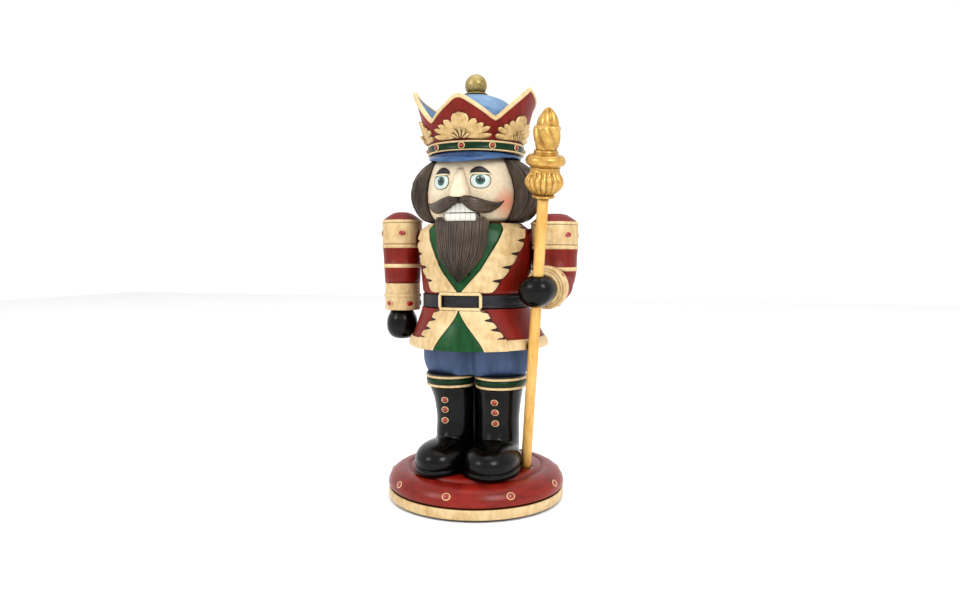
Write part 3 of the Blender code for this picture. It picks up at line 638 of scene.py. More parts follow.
def make_skirt():
    loops = []
    for z in spread(129.7, 161.9, 40):
        flare = smoothstep(162, 131, z)
        loops.append([on_body(SKIRT, a, z, 0.55 * flare * math.sin(math.radians(a * 7 + 40)) * smoothstep(
            30, 60, min(a, 360 - a)) - 0.2) for a in spread(0, 358.2, 199)])
    Piece("skirt_cast", RED).skin(loops).done(hides=("coat_skirt",), slot="red_paint")

    section = ((129.2, 0.2), (129.1, 0.9), (129.6, 1.5), (132, 1.75), (136.2, 1.5), (137.4, 1.1),
               (137.7, 0.2))
    loops = [[on_body(SKIRT, a, z, lift) for a in spread(0, 358.2, 199)] for z, lift in section]
    Piece("hem_band", GOLD).skin(loops, closed=True).done(hides=("hem_trim",), slot="gold_paint")

    apron = Piece("apron_panel", GREEN)
    rows = [(z, -panel_reach(z), panel_reach(z)) for z in spread(129.1, 160.8, 30)]
    lifted_plate(apron, SKIRT, rows, 25, 0.2,
                 lambda u, z: 1.9 + 1.3 * (1 - (2 * u - 1) ** 2) * smoothstep(165, 132, z))
    apron.done(hides=("apron",), slot="green_paint")

    lapels = Piece("skirt_lapels", GOLD, SHADOW_LINE)
    for sign in (-1, 1):
        # Layer 1 is a slightly wider dark plate under each lapel: a painted shadow around the scallops.
        for layer, grow, top in ((0, 0.0, lambda u, z: 2.75 - 0.5 * u), (1, 0.9, 1.25)):
            rows = []
            for z in spread(129.1, 160.9, 110):
                tab = scallops(z, 138.5, 3, 7.4, 4.0) * (1 - 0.75 * layer)
                outer = lerp(27, 39, smoothstep(164, 134, z)) - 1.3 * tab + grow + (1.2 if z < 138.5 else 0)
                rows.append((z, sign * (panel_reach(z) - 0.5), sign * outer))
            lifted_plate(lapels, SKIRT, rows, 14, 0.1, top, layer)
    lapels.done(hides=("skirt_lapel_left", "skirt_lapel_right"), slot="gold_paint")


def make_belt():
    r = BELT_RADIUS
    section = filleted([(r - 2, BELT_LOW), (r - 0.3, BELT_LOW), (r, BELT_LOW + 1.4),
                        (r - 0.5, BELT_LOW + 2.2), (r - 0.3, BELT_LOW + 3), (r - 0.3, BELT_TOP - 3),
                        (r - 0.5, BELT_TOP - 2.2), (r, BELT_TOP - 1.4), (r - 0.3, BELT_TOP),
                        (r - 2, BELT_TOP)], 0.5, 2)
    strap = Piece("belt_strap", BELT_PAINT).skin(turned(section, 160), closed=True)
    strap.done(hides=("belt",), slot="black_paint")

    low, high, half = 162.1, 174.2, 21.3
    corner = 2.2
    path = []
    for sign_a, sign_z, start in ((1, 1, 0), (-1, 1, 90), (-1, -1, 180), (1, -1, 270)):
        for step in range(5):
            turn = math.radians(start + 22.5 * step)
            path.append((sign_a * (half - corner) + corner * math.cos(turn),
                         (high if sign_z > 0 else low) - sign_z * corner + corner * math.sin(turn)))
    full = []
    for (a, z), (b, y) in zip(path, path[1:] + path[:1]):
        steps = max(1, int(math.hypot(b - a, y - z) / 2.0))
        full += [(lerp(a, b, k / steps), lerp(z, y, k / steps)) for k in range(steps)]
    line = [around((0, 0), r + 1.75, a, z)[0] for a, z in full]
    buckle = Piece("buckle_frame", GOLD)
    buckle.skin(closed_rod(line, 1.35, upward), closed=True)
    buckle.done(hides=("buckle",), slot="gold_paint")


OPENING = ((175.9, 1.5), (185, 10.5), (193, 18.5), (209, 29), (224, 39), (230.6, 43))
LAPEL_EDGE = ((175.9, 34), (185, 42), (193, 49), (209, 61), (224, 71), (230.6, 76))
SLOT = ((-60, 197), (-12, 173.5), (8, 173.5), (30, 176.9), (70, 176.9), (70, 205), (22, 205), (12, 240),
        (-60, 240))
MOUTH = ((-60, 221), (-60, 238.6), (-31.5, 238.6), (-31.5, 230.4), (-28.5, 230.4), (-28.5, 221))
SLOT_HALF = 8.0
MOUTH_HALF = 13.8


def make_torso():
    loops = [[on_body(COAT, 2.25 * k, z, -0.1) for k in range(160)] for z in spread(162.4, 231.3, 60)]
    loops.append([Vector((p.x * 0.9, p.y * 0.9, 231.5)) for p in loops[-1]])
    torso = Piece("coat_torso", RED).skin(loops).done(hides=("coat_body",), slot="red_paint")
    tools = slab(SLOT, SLOT_HALF), slab(MOUTH, MOUTH_HALF)
    cut(torso, *tools)

    vest = Piece("vest_front", GREEN)
    rows = [(z, -between(OPENING, z)[0] - 0.8,
             between(OPENING, z)[0] + 0.8) for z in spread(175.0, 230.8, 40)]
    lifted_plate(vest, COAT, rows, 33, 0.1, lambda u, z: 1.3 + 0.35 * math.sin(math.pi * u))
    cut(vest.done(hides=("vest",), slot="green_paint"), *tools)

    lapels = Piece("coat_lapels", GOLD, SHADOW_LINE)

    def face(u, z):
        return 2.35 - 0.45 * u + 0.25 * math.sin(z * 0.9 + 5 * u)

    for sign in (-1, 1):
        # Layer 1 is a slightly wider dark plate under each lapel: a painted shadow around the scallops.
        for layer, grow, top in ((0, 0.0, face), (1, 1.1, 0.95)):
            rows = []
            for z in spread(175.0, 230.8, 220):
                inner, outer = between(OPENING, z)[0] + 1.0 - 0.7 * layer, between(LAPEL_EDGE, z)[0]
                outer -= 1.35 * scallops(z, 173.8, 5, 10.8, 5.4) * (1 - 0.8 * layer)
                rows.append((z, sign * inner, sign * (outer + grow)))
            lifted_plate(lapels, COAT, rows, 18, 0.1, top, layer)
    lapels.done(hides=("lapel_left", "lapel_right"), slot="gold_paint")


# ---------------------------------------------------------------- jaw


def inset(outline, amount):
    """A closed outline drawn in by an amount."""
    area = sum(a[0] * b[1] - b[0] * a[1] for a, b in zip(outline, outline[1:] + outline[:1]))
    turn = amount if area > 0 else -amount
    drawn = []
    for i, (x, y) in enumerate(outline):
        (px, py), (qx, qy) = outline[i - 1], outline[(i + 1) % len(outline)]
        along = Vector((qx - px, qy - py)).normalized()
        drawn.append((x - along.y * turn, y + along.x * turn))
    return drawn


def rounded(outline, radius, steps=3):
    """A closed outline with every corner rounded."""
    return filleted([outline[-1]] + list(outline) + [outline[0]], radius, steps)[1:-1]


def board(piece, outline, half, bevel, paint=0):
    """A (y, z) outline given a width along X, with its edges eased."""
    loops = []
    ease = bevel * 0.35
    for x, draw in ((-half, bevel), (-half + ease, ease), (-half + bevel, 0),
                    (half - bevel, 0), (half - ease, ease), (half, bevel)):
        loops.append([Vector((x, y, z)) for y, z in inset(outline, draw)])
    return piece.skin(loops, paint)


BEARD = ((183.4, 0.8, -49.4, -51.0), (188, 5.2, -48.4, -52.4), (193.3, 10.0, -47.6, -53.0),
         (198, 14.2, -46.6, -53.0), (203, 17.8, -45.3, -52.3), (209, 19.8, -43.6, -51.4),
         (216, 21.0, -42.3, -50.3), (224, 22.2, -41.9, -49.0), (231.6, 22.6, -41.9, -47.2))


def make_jaw():
    arm = rounded([(-41.5, 213), (-41.5, 233.2), (-34, 233.2), (-31, 230.4), (8, 196), (49.5, 196),
                   (49.5, 178), (46, 178.2), (8, 176), (0, 175.2), (-8, 177)], 1.5)
    handle = rounded([(47.9, 177.5), (48.9, 161.5), (54.7, 152), (60.4, 144.2), (67.9, 146.4), (63.6, 158),
                      (58.3, 168), (56.9, 190), (52.9, 196.6), (47.9, 196.6)], 3, 5)
    lever = Piece("jaw_lever_arm", WOOD, RED)
    board(lever, arm, 6.9, 0.6, 0)
    board(lever, handle, 9.8, 1.2, 1)
    lever.done("jaw", hides=("jaw_lever",), slot="bare_wood")

    gums = Piece("lower_teeth", GREY_LINE, WHITE)
    board(gums, [(-42.7, 232.2), (-42.7, 237.8), (-33.6, 237.8), (-33.6, 232.2)], 12.8, 0.3, 0)
    for i in range(6):
        tooth(gums, (i - 2.5) * 4.28, 4.16, 232.0, 238.1)
    gums.done("jaw")

    beard = Piece("beard_carved", HAIR)
    strands, middle, low, high = 21, 0.8, BEARD[0][0], 231.4
    loops = []
    for share in spread(0, 1, 89):
        row = []
        for u in spread(-1, 1, 168):
            lobe = smoothstep(0.56, 0.68, abs(u)) * (1 - smoothstep(0.86, 1.0, abs(u)))
            z = lerp(low, high + 3.9 * lobe, share)
            half, back, front = between(BEARD, z)
            phase = (u + 0.02 * math.sin(z * 0.13 + 4 * u)) * strands
            groove = abs(math.sin(phase * math.pi / 2 + 0.5 * math.sin(z * 0.06)))
            fine = 0.16 * math.sin(phase * 5.3 + z * 0.1)
            deep = 0.85 * (1 - groove ** 0.6) * smoothstep(183.5, 190, z)
            bulge = math.sqrt(max(0.0, 1 - abs(u) ** 3.0))
            row.append(Vector((middle + half * u, lerp(back, front, bulge) + deep - fine, z)))
        z = lerp(low, high, share)
        half, back, _ = between(BEARD, z)
        loops.append(row + [Vector((middle + half * u, back + 0.3, z)) for u in spread(0.8, -0.8, 8)])
    half, back, _ = between(BEARD, high)
    loops.append([Vector((p.x, max(p.y, back + 0.1), p.z - 0.3)) for p in loops[-1]])
    beard.skin(loops).done("jaw", hides=("beard",), slot="hair_paint")


def tooth(piece, x, width, low, high, front=-43.1, back=-42.3, paint=1):
    """A rounded tooth block."""
    outline = rounded([(x - width / 2, low), (x + width / 2, low), (x + width / 2, high),
                       (x - width / 2, high)], 0.4, 2)
    loops = []
    for y, draw in ((back, 0), (front + 0.25, 0), (front + 0.06, 0.08), (front, 0.3)):
        loops.append([Vector((a, y, b)) for a, b in inset(outline, draw)])
    piece.skin(loops, paint)


# ---------------------------------------------------------------- head


def on_face(x, z, lift):
    """A point lifted off the face, straight behind x."""
    _, half, _, _ = eased(HEAD, z)
    return on_body(HEAD, math.degrees(math.asin(max(-1, min(1, x / (half + lift))))), z, lift)


def decal(piece, outline, bottom, top, paint, crown=0.0):
    """A flat or gently domed shape laid on the face; outline is a list of (x, z)."""
    cx = sum(x for x, _ in outline) / len(outline)
    cz = sum(z for _, z in outline) / len(outline)
    loops = [[on_face(x, z, bottom) for x, z in outline]]
    for share in (1.0, 0.92, 0.7, 0.4):
        rise = top * (0.8 if share == 1.0 else 1) + crown * (1 - share * share)
        loops.append([on_face(cx + (x - cx) * share, cz + (z - cz) * share, rise) for x, z in outline])
    loops.append([on_face(cx, cz, top + crown)])
    piece.skin(loops, paint)


def round_outline(cx, cz, half, rise, drop, power=2.0, count=36):
    """A rounded outline whose top and bottom may differ in reach."""
    outline = []
    for i in range(count):
        a = TAU * i / count
        c, s = math.cos(a), math.sin(a)
        outline.append((cx + half * math.copysign(abs(c) ** (2 / power), c),
                        cz + (rise if s > 0 else drop) * math.copysign(abs(s) ** (2 / power), s)))
    return outline


def make_face():
    loops = [[on_body(HEAD, 2.5 * k, z, -0.05) for k in range(144)] for z in spread(231.8, 283.6, 52)]
    skull = Piece("face_cast", SKIN).skin(loops).done(hides=("head",), slot="skin_paint")
    cut(skull, slab(MOUTH, MOUTH_HALF))

    eyes = Piece("painted_eyes", EYE_WHITE_AND_HIGHLIGHT, EYE_LINE, IRIS, PUPIL, LID, BROW)
    for sign, x in ((-1, -18.6), (1, 14.9)):
        z = 264.6
        decal(eyes, round_outline(x, z, 7.8, 4.9, 6.9, 2.4), -0.3, 0.25, 1)
        decal(eyes, round_outline(x, z - 0.1, 7.2, 4.3, 6.3, 2.4), -0.1, 0.42, 0, 0.5)
        decal(eyes, round_outline(x + 0.1, z - 0.1, 3.7, 3.7, 3.8), 0.1, 0.95, 2, 0.15)
        decal(eyes, round_outline(x + 0.1, z, 2.3, 2.4, 2.4), 0.1, 1.15, 3, 0.1)
        # A small dot of eye-white paint on the pupil, above and towards -X: a painted highlight.
        decal(eyes, round_outline(x - 1.2, z + 1.5, 0.6, 0.5, 0.5), 0.1, 1.32, 0)
        lid = [on_face(x + 8 * t, z + 4.6 + 0.4 * (1 - t * t), 0.7) for t in spread(-1, 1, 16)]
        eyes.skin(tube(lid, [0.25 + 0.6 * math.sqrt(1 - (t * 8 / 8.3) ** 2) for t in spread(-1, 1, 16)], 10),
                  4)
        brow = [((0.0 if sign > 0 else -3.2) + sign * lerp(7.4, 22.8, t),
                 269.6 + 5.6 * math.sin(math.pi * min(1, t * 0.94 + 0.10)) ** 0.8) for t in spread(0, 1, 24)]
        under = [(out, 269.5 + 0.7 * math.sin(math.pi * k / 24)) for k, (out, _) in enumerate(brow)]
        decal(eyes, brow + under[::-1], -0.3, 0.75, 5, 0.45)
    eyes.done(slot="skin_paint")

    nose = Piece("nose_wedge", SKIN)
    rows = catmull(((250.5, 6.6, -49.8), (251.6, 8.1, -50.7), (254.5, 7.7, -50.7), (260, 6.4, -49.2),
                    (266, 4.6, -46.8), (270.5, 3.3, -43.6), (273.5, 2.6, -40.6)), 5)
    root = -39.0
    loops = []
    for z, half, front in rows:
        loops.append([])
        for i in range(32):
            c, s = math.cos(TAU * i / 32), math.sin(TAU * i / 32)
            y = root + ((front - root) * c ** 0.75 if c > 0 else -3 * c)
            loops[-1].append(Vector((half * math.copysign(abs(s) ** 0.8, s) - 1.0, y, z)))
    nose.skin(loops).done(hides=("nose",), slot="skin_paint")

    upper = Piece("upper_teeth_row", GREY_LINE, WHITE)
    board(upper, [(-42.8, 238.9), (-42.8, 241.6), (-40, 241.6), (-40, 238.9)], 12.2, 0.2, 0)
    board(upper, [(-42.8, 241.2), (-42.8, 245.2), (-40, 245.2), (-40, 241.2)], 7.4, 0.2, 0)
    for i in range(6):
        tooth(upper, (i - 2.5) * 4.1, 3.98, 238.75, (242.0, 244.6, 246.0)[int(2.5 - abs(i - 2.5))])
    upper.done(hides=("upper_teeth",), slot="white_paint")


LOBE = ((0.6, -46.4, 248.9, 2.2, 1.7), (4, -47.1, 248.0, 2.9, 3.3), (8, -47.0, 246.5, 3.3, 4.9),
        (13, -45.2, 244.6, 3.5, 5.6), (18, -42.2, 243.5, 3.3, 5.4), (23, -38.4, 243.0, 3.0, 4.3),
        (27, -35.0, 243.9, 2.4, 2.8), (30.2, -31.8, 245.8, 1.5, 1.5), (32.4, -29.2, 248.2, 0.5, 0.5))


def make_moustache():
    lobes = Piece("moustache_carved", LIP_HAIR)
    for sign in (-1, 1):
        loops = []
        for i, (x, y, z, depth, height) in enumerate(catmull(LOBE, 6)):
            loop = []
            for k in range(48):
                a = TAU * k / 48
                ridge = 1 + 0.055 * math.sin(a * 11 + i * 0.13) + 0.03 * math.sin(a * 23 - i * 0.21)
                loop.append(Vector((sign * x, y + depth * ridge * math.cos(a),
                                    z + height * ridge * math.sin(a))))
            loops.append(loop)
        lobes.skin(loops)
    lobes.done(hides=("moustache",), slot="hair_paint")


HAIR_ROWS = ((232.2, 64, 9.0), (234, 64, 11.0), (238, 64, 12.6), (246, 64.5, 14.6), (252, 64.8, 15.6),
             (258, 65, 15.9), (266, 63.8, 15.4), (272, 62.2, 13.4), (277, 61, 10.4), (281.5, 60, 6.4),
             (283.2, 60, 3.8))


def make_hair():
    strands = 34
    low, high = 232.2, 283.2
    loops = []
    for share in spread(0, 1, 61):
        z = lerp(low, high, share)
        start, thick = between(HAIR_ROWS, z)
        loop = []
        for u in spread(0, 1, 340):
            bend = 0.012 * math.sin(share * math.pi * 1.4) * math.sin(TAU * u)
            groove = abs(math.sin((u + bend) * strands * math.pi))
            fine = 0.35 * abs(math.sin((u + bend) * strands * 3 * math.pi + 2 * math.sin(share * 5)))
            edge = math.sqrt(max(0.0, 1 - abs(2 * u - 1) ** 14))
            carved = (3.8 * (1 - groove ** 0.7) + fine) * min(1, thick / 9)
            rise = 0.9 + (thick - 0.9) * (0.4 + 0.6 * edge) - carved
            tuck = 1.2 * smoothstep(0.05, 0.0, share)
            loop.append(on_body(HEAD, lerp(start, 360 - start, u), z, max(1.2, rise - tuck)))
        loops.append(loop + [on_body(HEAD, a, z, 0.15) for a in spread(360 - start, start, 48)])
    Piece("hair_carved", HAIR).skin(loops).done(hides=("hair",), slot="hair_paint")


# ---------------------------------------------------------------- hat


def brim_ring(half, front, back, height, droop):
    loop = oval(0, 0, half, front, back, height, 120)
    for p in loop:
        p.z -= droop * max(0.0, -p.y / front) ** 2
    return loop


def make_hat():
    rows = ((33, 35, 33, 283.9, 0.0), (36, 42, 36, 283.7, 3.2), (37.4, 48.6, 37.8, 284.0, 6.1),
            (37.9, 49.8, 38.3, 284.5, 6.4), (38.1, 50.1, 38.4, 285.2, 6.3), (37.9, 49.6, 38.2, 285.9, 5.9),
            (37.6, 47.5, 38.0, 286.6, 4.6), (37.3, 44, 37.6, 287.0, 2.4), (37, 40, 37.4, 287.2, 0.0))
    visor = Piece("cap_visor", BRIM_BLUE).skin([brim_ring(*row) for row in rows])
    visor.done(hides=("cap_brim",), slot="blue_paint")

    r, low, high = BAND_RADIUS, BAND_LOW, BAND_TOP
    section = ((0, low, 1), (r, low, 1), (r + 0.9, low + 0.5, 1), (r + 1.0, low + 1.3, 1),
               (r + 0.2, low + 1.9, 0), (r, low + 2.2, 0), (r, high - 2.2, 0), (r + 0.2, high - 1.8, 1),
               (r + 1.0, high - 1.2, 1), (r + 0.9, high - 0.5, 1), (r, high, 1), (0, high, 1))
    band = Piece("hat_band", DEEP_GREEN, GOLD)
    band.skin(turned([row[:2] for row in section], 160), lambda row,
              column: section[row + 1][2] and section[row][2])
    band.done(hides=("cap_band",), slot="green_paint")
    studs = Piece("band_jewels", JEWEL, GOLD_LEAF)
    for i in range(10):
        foot, out = around((0, 0), r, 36 * i, (low + high) / 2)
        stud(studs, foot, out, 2.5)
    studs.done()

    dome = catmull(((0.01, BAND_TOP + 0.4), (35.6, BAND_TOP + 0.4), (37.4, 301), (38.1, 306), (37.4, 314),
                    (34.2, 323), (26.5, 331.3), (16, 336.2), (8, 338.0), (0.01, 338.2)), 6)
    loops = turned(dome, 128)
    for loop in loops:
        for p in loop:
            spin = math.atan2(p.x, -p.y)
            deep = 0.25 * smoothstep(300, 325, p.z)
            gather = deep * abs(math.sin(spin * 4)) ** 0.5 * smoothstep(0, 20, p.xy.length)
            p.xy *= 1 - (deep - gather) / max(8, p.xy.length)
    Piece("puffed_dome", BLUE).skin(loops).done(hides=("cap_dome",), slot="blue_paint")

    profile = filleted([(0, 338.3), (9.4, 338.3), (9.9, 339.4), (7.0, 340.7), (5.9, 341.0)], 0.5)
    centre = FIGURE_TOP - 9.3
    ball = [(9.3 * math.cos(math.radians(a)),
             centre + 9.3 * math.sin(math.radians(a))) for a in range(-44, 90, 6)]
    loops = turned(profile + ball + [(0, FIGURE_TOP)], 64)
    for loop in loops[len(profile):]:
        for p in loop:
            p += (p - Vector((0, 0, centre))).normalized() * (rumple(p, 3.2, 0.2) - 0.1)
    Piece("finial_ball", BALL_GOLD).skin(loops).done(hides=("finial",), slot="gold_paint")
    make_crown()


def stud(piece, foot, axis, radius):
    """A red bead in a low gold cup."""
    stand = standing(foot, axis)
    piece.skin(turned([(0, -0.3), (radius * 1.15, -0.3), (radius * 1.15, 0.5), (radius * 0.95, 0.8),
                       (radius * 0.8, 0.45), (0, 0.45)], 20), 1, matrix=stand)
    bead = [(radius * 0.78 * math.cos(math.radians(a)), 0.4 + radius * 0.75 * math.sin(math.radians(a)))
            for a in (0, 20, 40, 60, 78)]
    piece.skin(turned([(0, 0.1), (radius * 0.78, 0.1)] + bead + [(0, 0.4 + radius * 0.76)], 16), 0,
               matrix=stand)


CROWN_FOOT = BAND_TOP + 0.3
CROWN_EDGE = ((0, 330.0), (3, 329.7), (6, 328.4), (10, 326.3), (24, 319.4), (34, 314.4), (37.5, 313.5),
              (41, 315.2), (56, 326.6), (69, 336.6), (75, 341), (81, 339.9), (97.5, 336.0), (122, 329.2),
              (127.5, 328.4), (133, 329.4), (160, 336.6), (176, 341.2), (180, 341.6))
CROWN_FLARE = ((CROWN_FOOT, 39.5), (301.5, 41.8), (308, 43.3), (315, 45), (322, 46.9), (331, 49.6),
               (342, 53.0))


def crown_edge(turn):
    """Height of the crown's edge at a share of the way round."""
    angle = 360 * (turn % 1)
    return between(CROWN_EDGE, min(angle, 360 - angle))[0] - 2.6 * max(0.0, math.sin(TAU * turn)) ** 4


def crown_radius(height):
    """Outer radius of the crown's wall."""
    return eased(CROWN_FLARE, height, 3)[0]


def on_crown(turn, height, lift):
    return around((0, 0), crown_radius(height) + lift, 360 * turn, height)[0]


def make_crown():
    turns = spread(0, 239 / 240, 239)
    steps, wall = 14, 2.9
    loops = []
    for lift, rows in ((0.0, range(steps + 1)), (-wall, range(steps, -1, -1))):
        for k in rows:
            short = 0 if k < steps else 0.3
            loops.append([on_crown(turn, lerp(CROWN_FOOT, crown_edge(turn) - short, k / steps), lift)
                          for turn in turns])
    crown = Piece("crown_leaf", RED, BLUE)
    crown.skin(loops, lambda row, column: 0 if row <= steps else 1, closed=True)
    crown.done(hides=("crown_wall",), slot="red_paint")

    rim = Piece("crown_rim", GOLD)
    for lift, drop, radius in ((-0.2, 1.5, 1.25), (-wall / 2, 0.3, 1.3), (-wall + 0.4, 1.0, 0.9)):
        path = [on_crown(turn, crown_edge(turn) - drop, lift) for turn in turns]
        rim.skin(closed_rod(path, radius, outward), closed=True)
    rim.done(slot="gold_paint")
    make_palmettes()


def petal(piece, turn, root, lean, length, width, lift, veins=0):
    """A leaf laid on the crown: root is (along, up) from the fan's foot, lean its tilt from upright."""
    a = math.radians(lean)
    loops = []
    for t in spread(0, 1, 14):
        half = width / 2 * (math.sin(math.pi * min(1, 0.06 + t * 0.86)) ** 0.62) * (0.5 + 0.5 * t) * 1.25
        half = max(half * (1 if t < 0.98 else 0.35), 0.15)
        curl = 1.0 + 0.9 * t * t
        outer, inner = [], []
        for s in spread(-1, 1, 12):
            along = root[0] + length * t * math.sin(a) + s * half * math.cos(a)
            up = root[1] + length * t * math.cos(a) - s * half * math.sin(a)
            rise = lift * curl * math.sqrt(max(0.0, 1 - s * s))
            if veins:
                rise = rise * 0.75 + 0.7 * abs(math.sin(veins * math.pi * s / 2)) ** 0.7
            else:
                rise -= 0.25 * math.exp(-(s / 0.16) ** 2)
            place = turn + along / (TAU * 43.5), CROWN_FOOT + 0.6 + up
            outer.append(on_crown(*place, 0.15 + max(0.0, rise)))
            inner.append(on_crown(*place, -0.4))
        loops.append(outer + inner[::-1])
    piece.skin(loops)


# How far along and up a leaf starts, its lean, length, width and lift
LEAVES = ((3.2, 1.4, 36, 15.8, 7.4, 1.45), (4.6, 1.2, 55, 16.8, 6.2, 1.35), (5.6, 0.9, 68, 19.5, 5.0, 1.3),
          (6.6, 0.7, 84, 19.0, 4.4, 1.3), (2.0, 0.4, 62, 6.5, 3.0, 2.3), (1.2, 0.6, 28, 6.5, 2.8, 2.5))


def make_palmettes():
    """Four carved leaf fans around the foot of the crown, one under each point."""
    fans = Piece("crown_palmettes", GOLD_LEAF)
    for turn in (0, 0.2, 0.5, 0.8):
        petal(fans, turn, (0, 1.5), 0, 18.2, 15.2, 1.5, veins=6)
        for sign in (-1, 1):
            for along, up, lean, length, width, lift in LEAVES:
                petal(fans, turn, (sign * along, up), sign * lean, length, width, lift)
        petal(fans, turn, (0, 0.6), 0, 7.0, 2.8, 2.7)
    fans.done(slot="gold_paint")


# ---------------------------------------------------------------- arms


def banded(piece, section, centre):
    """Turns rows of (radius, height, paint) into a painted skin."""
    piece.skin(turned([row[:2] for row in section], 96, centre), lambda row, column: section[row][2])


def make_left_arm():
    at = (-ARM_X, ARM_Y)
    sleeve = Piece("sleeve_left_turned", RED, GOLD, SHADOW_LINE)
    # Rows painted 2 are thin dark lines at the floor of the grooves beside the gold rings: painted shade.
    section = ((0, 181.3, 0), (15.4, 181.3, 0), (15.6, 186, 0), (16, 194, 0), (16.0, 194.3, 1),
               (16.7, 195, 1), (16.9, 196, 1), (16.7, 197, 1), (16.1, 197.6, 0), (16.4, 204, 0),
               (16.9, 210.8, 0), (16.9, 211.3, 1), (17.5, 212, 1), (17.8, 213, 1), (17.5, 214, 1),
               (16.9, 214.5, 2), (16.9, 215, 1), (17.2, 215.5, 1), (17.3, 223, 1), (17.3, 232.2, 1),
               (17.0, 232.8, 2), (17.1, 233.1, 1), (17.7, 233.7, 1), (17.85, 234.5, 1), (17.5, 235.2, 1),
               (16.6, 235.6, 0), (14.6, 237.4, 0), (11.4, 239.6, 0), (8.4, 241.5, 0), (5.0, 242.5, 0),
               (0, 242.7, 0))
    banded(sleeve, section, at)
    sleeve.done(hides=("sleeve_left",), slot="red_paint")

    cuff = Piece("cuff_left_turned", GOLD, SHADOW_LINE)
    section = filleted([(0, 157.4), (14.6, 157.4), (15.3, 158.6), (15.3, 168.3), (16.2, 169.2), (16.3, 170.6),
                        (16.0, 171.5), (14.9, 171.9), (15.2, 172.8), (15.2, 180.9), (0, 180.9)], 0.5, 3)
    cuff.skin(turned(section, 96, at))
    cuff.done(hides=("cuff_left",), slot="gold_paint")
    studs = Piece("arm_left_jewels", JEWEL, GOLD_LEAF)
    for radius, height, angles in ((17.2, 224.0, (22, 94, 166, 238, 291)),
                                   (15.2, 163.4, (46, 118, 190, 262, 334))):
        for angle in angles:
            foot, out = around(at, radius, angle, height)
            jewel(studs, foot, out, 2.2, 1.5)
    studs.done()

    rows = catmull(((131.9, 1.5), (132.4, 6.0), (134.8, 10.1), (139, 12.7), (144.5, 13.5), (150, 12.9),
                    (154, 11.2), (157, 9.6)), 5)
    loops = [oval(-ARM_X - 0.6, ARM_Y, r, r * 0.96, r * 0.96, z, 64) for z, r in rows]
    Piece("glove_left_cast", BLACK).skin(loops).done(hides=("glove_left",), slot="black_paint")


def make_right_arm():
    at = (ARM_X - 2.2, ARM_Y)
    sleeve = Piece("sleeve_right_turned", RED, GOLD, SHADOW_LINE)
    # Rows painted 2 are thin dark lines at the floor of the grooves beside the gold rings: painted shade.
    section = ((0, 171, 0), (9.2, 172.3, 0), (13.8, 176.5, 0), (16.6, 183, 0), (18, 190, 0), (18.2, 192.0, 1),
               (19, 192.8, 1), (19.2, 193.7, 1), (19, 194.6, 1), (18.4, 195.2, 0), (18.6, 204, 0),
               (19.1, 209.4, 0), (19.1, 209.8, 1), (19.7, 210.5, 1), (20, 211.5, 1), (19.7, 212.5, 1),
               (19.1, 213.0, 2), (19.1, 213.5, 1), (19.4, 214, 1), (19.5, 222, 1), (19.5, 228.8, 1),
               (19.2, 229.4, 2), (19.3, 229.7, 1), (19.8, 230.3, 1), (19.95, 231.1, 1), (19.6, 231.8, 1),
               (18.6, 232.2, 0), (16.6, 234.0, 0), (13.2, 236.2, 0), (10, 238.1, 0), (6.2, 239.0, 0),
               (0, 239.2, 0))
    banded(sleeve, section, at)
    back = FIST - FOREARM * 25
    turn = standing(back - FOREARM * 17, FOREARM)
    arm = catmull(((0.01, -2), (11, 0), (14.2, 4), (14.8, 9), (14.8, 16.6)), 5) + [(0, 16.6)]
    sleeve.skin(turned(arm, 64), 0, matrix=turn)
    sleeve.done(hides=("sleeve_right",), slot="red_paint")

    stand = standing(back, FOREARM)
    cuff = Piece("cuff_right_turned", GOLD, SHADOW_LINE)
    section = filleted([(0, 0), (15.5, 0), (16.5, 0.8), (16.7, 2.6), (16.0, 3.4), (16.6, 4.3), (17.5, 5.0),
                        (17.7, 8.8), (17.2, 9.9), (16.0, 10.6), (14.9, 10.3), (14.2, 11.2), (13.2, 10.9),
                        (12.4, 11.6), (11.4, 12.4), (0, 12.4)], 0.5, 3)
    cuff.skin(turned(section, 96), matrix=stand)
    cuff.done(hides=("cuff_right",), slot="gold_paint")

    studs = Piece("arm_right_jewels", JEWEL, GOLD_LEAF)
    for angle in (45, 110, 165, 225, 285, 333):
        foot, out = around(at, 19.1, angle, 221.4)
        jewel(studs, foot, out, 2.2, 1.5)
    side = Vector((0, 0, 1)).cross(FOREARM).normalized()
    up = FOREARM.cross(side)
    for angle in (35, 100, 170, 240, 305):
        out = side * math.cos(math.radians(angle)) + up * math.sin(math.radians(angle))
        jewel(studs, back + FOREARM * 7 + out * 17.2, out, 1.7)
    studs.done()

    wrist = back + FOREARM * 12.7
    reach = (FIST - wrist).length
    rows = catmull(((0.01, 0), (9.2, 0.2), (12.4, 3.2), (13.6, 8), (13.9, reach), (13.2, reach + 5.4),
                    (10.9, reach + 9.4), (7.0, reach + 12.2), (3.2, reach + 13.4), (0.01, reach + 13.7)), 6)
    loops = [oval(0, 0, r * 1.05, r * 0.92, r * 0.92, z, 72) for r, z in rows]
    fist = Piece("glove_right_cast", BLACK).skin(loops, matrix=standing(wrist, FOREARM))
    fist = fist.done(hides=("glove_right",), slot="black_paint")
    cut(fist, cylinder(STAFF_BORE, 110, 200, 48, standing(STAFF_FOOT, STAFF_LEAN)))


def make_shoulders():
    """Short red bosses that fill the gaps between the coat and the arms."""
    bosses = Piece("shoulder_bosses", RED)
    for sign in (-1, 1):
        rows = [(0, 42), (7.6, 42), (8.2, 47), (7.8, 50.2), (7.2, 51.4), (0, 51.4)]
        bosses.skin(turned(rows, 40), matrix=Matrix.Translation((0, 3, 219)) @ Matrix.Rotation(
            math.radians(90 * sign), 4, "Y"))
    bosses.done(slot="red_paint")


# ---------------------------------------------------------------- staff


HEAD_SEAT = 231      # how far up the staff its head starts


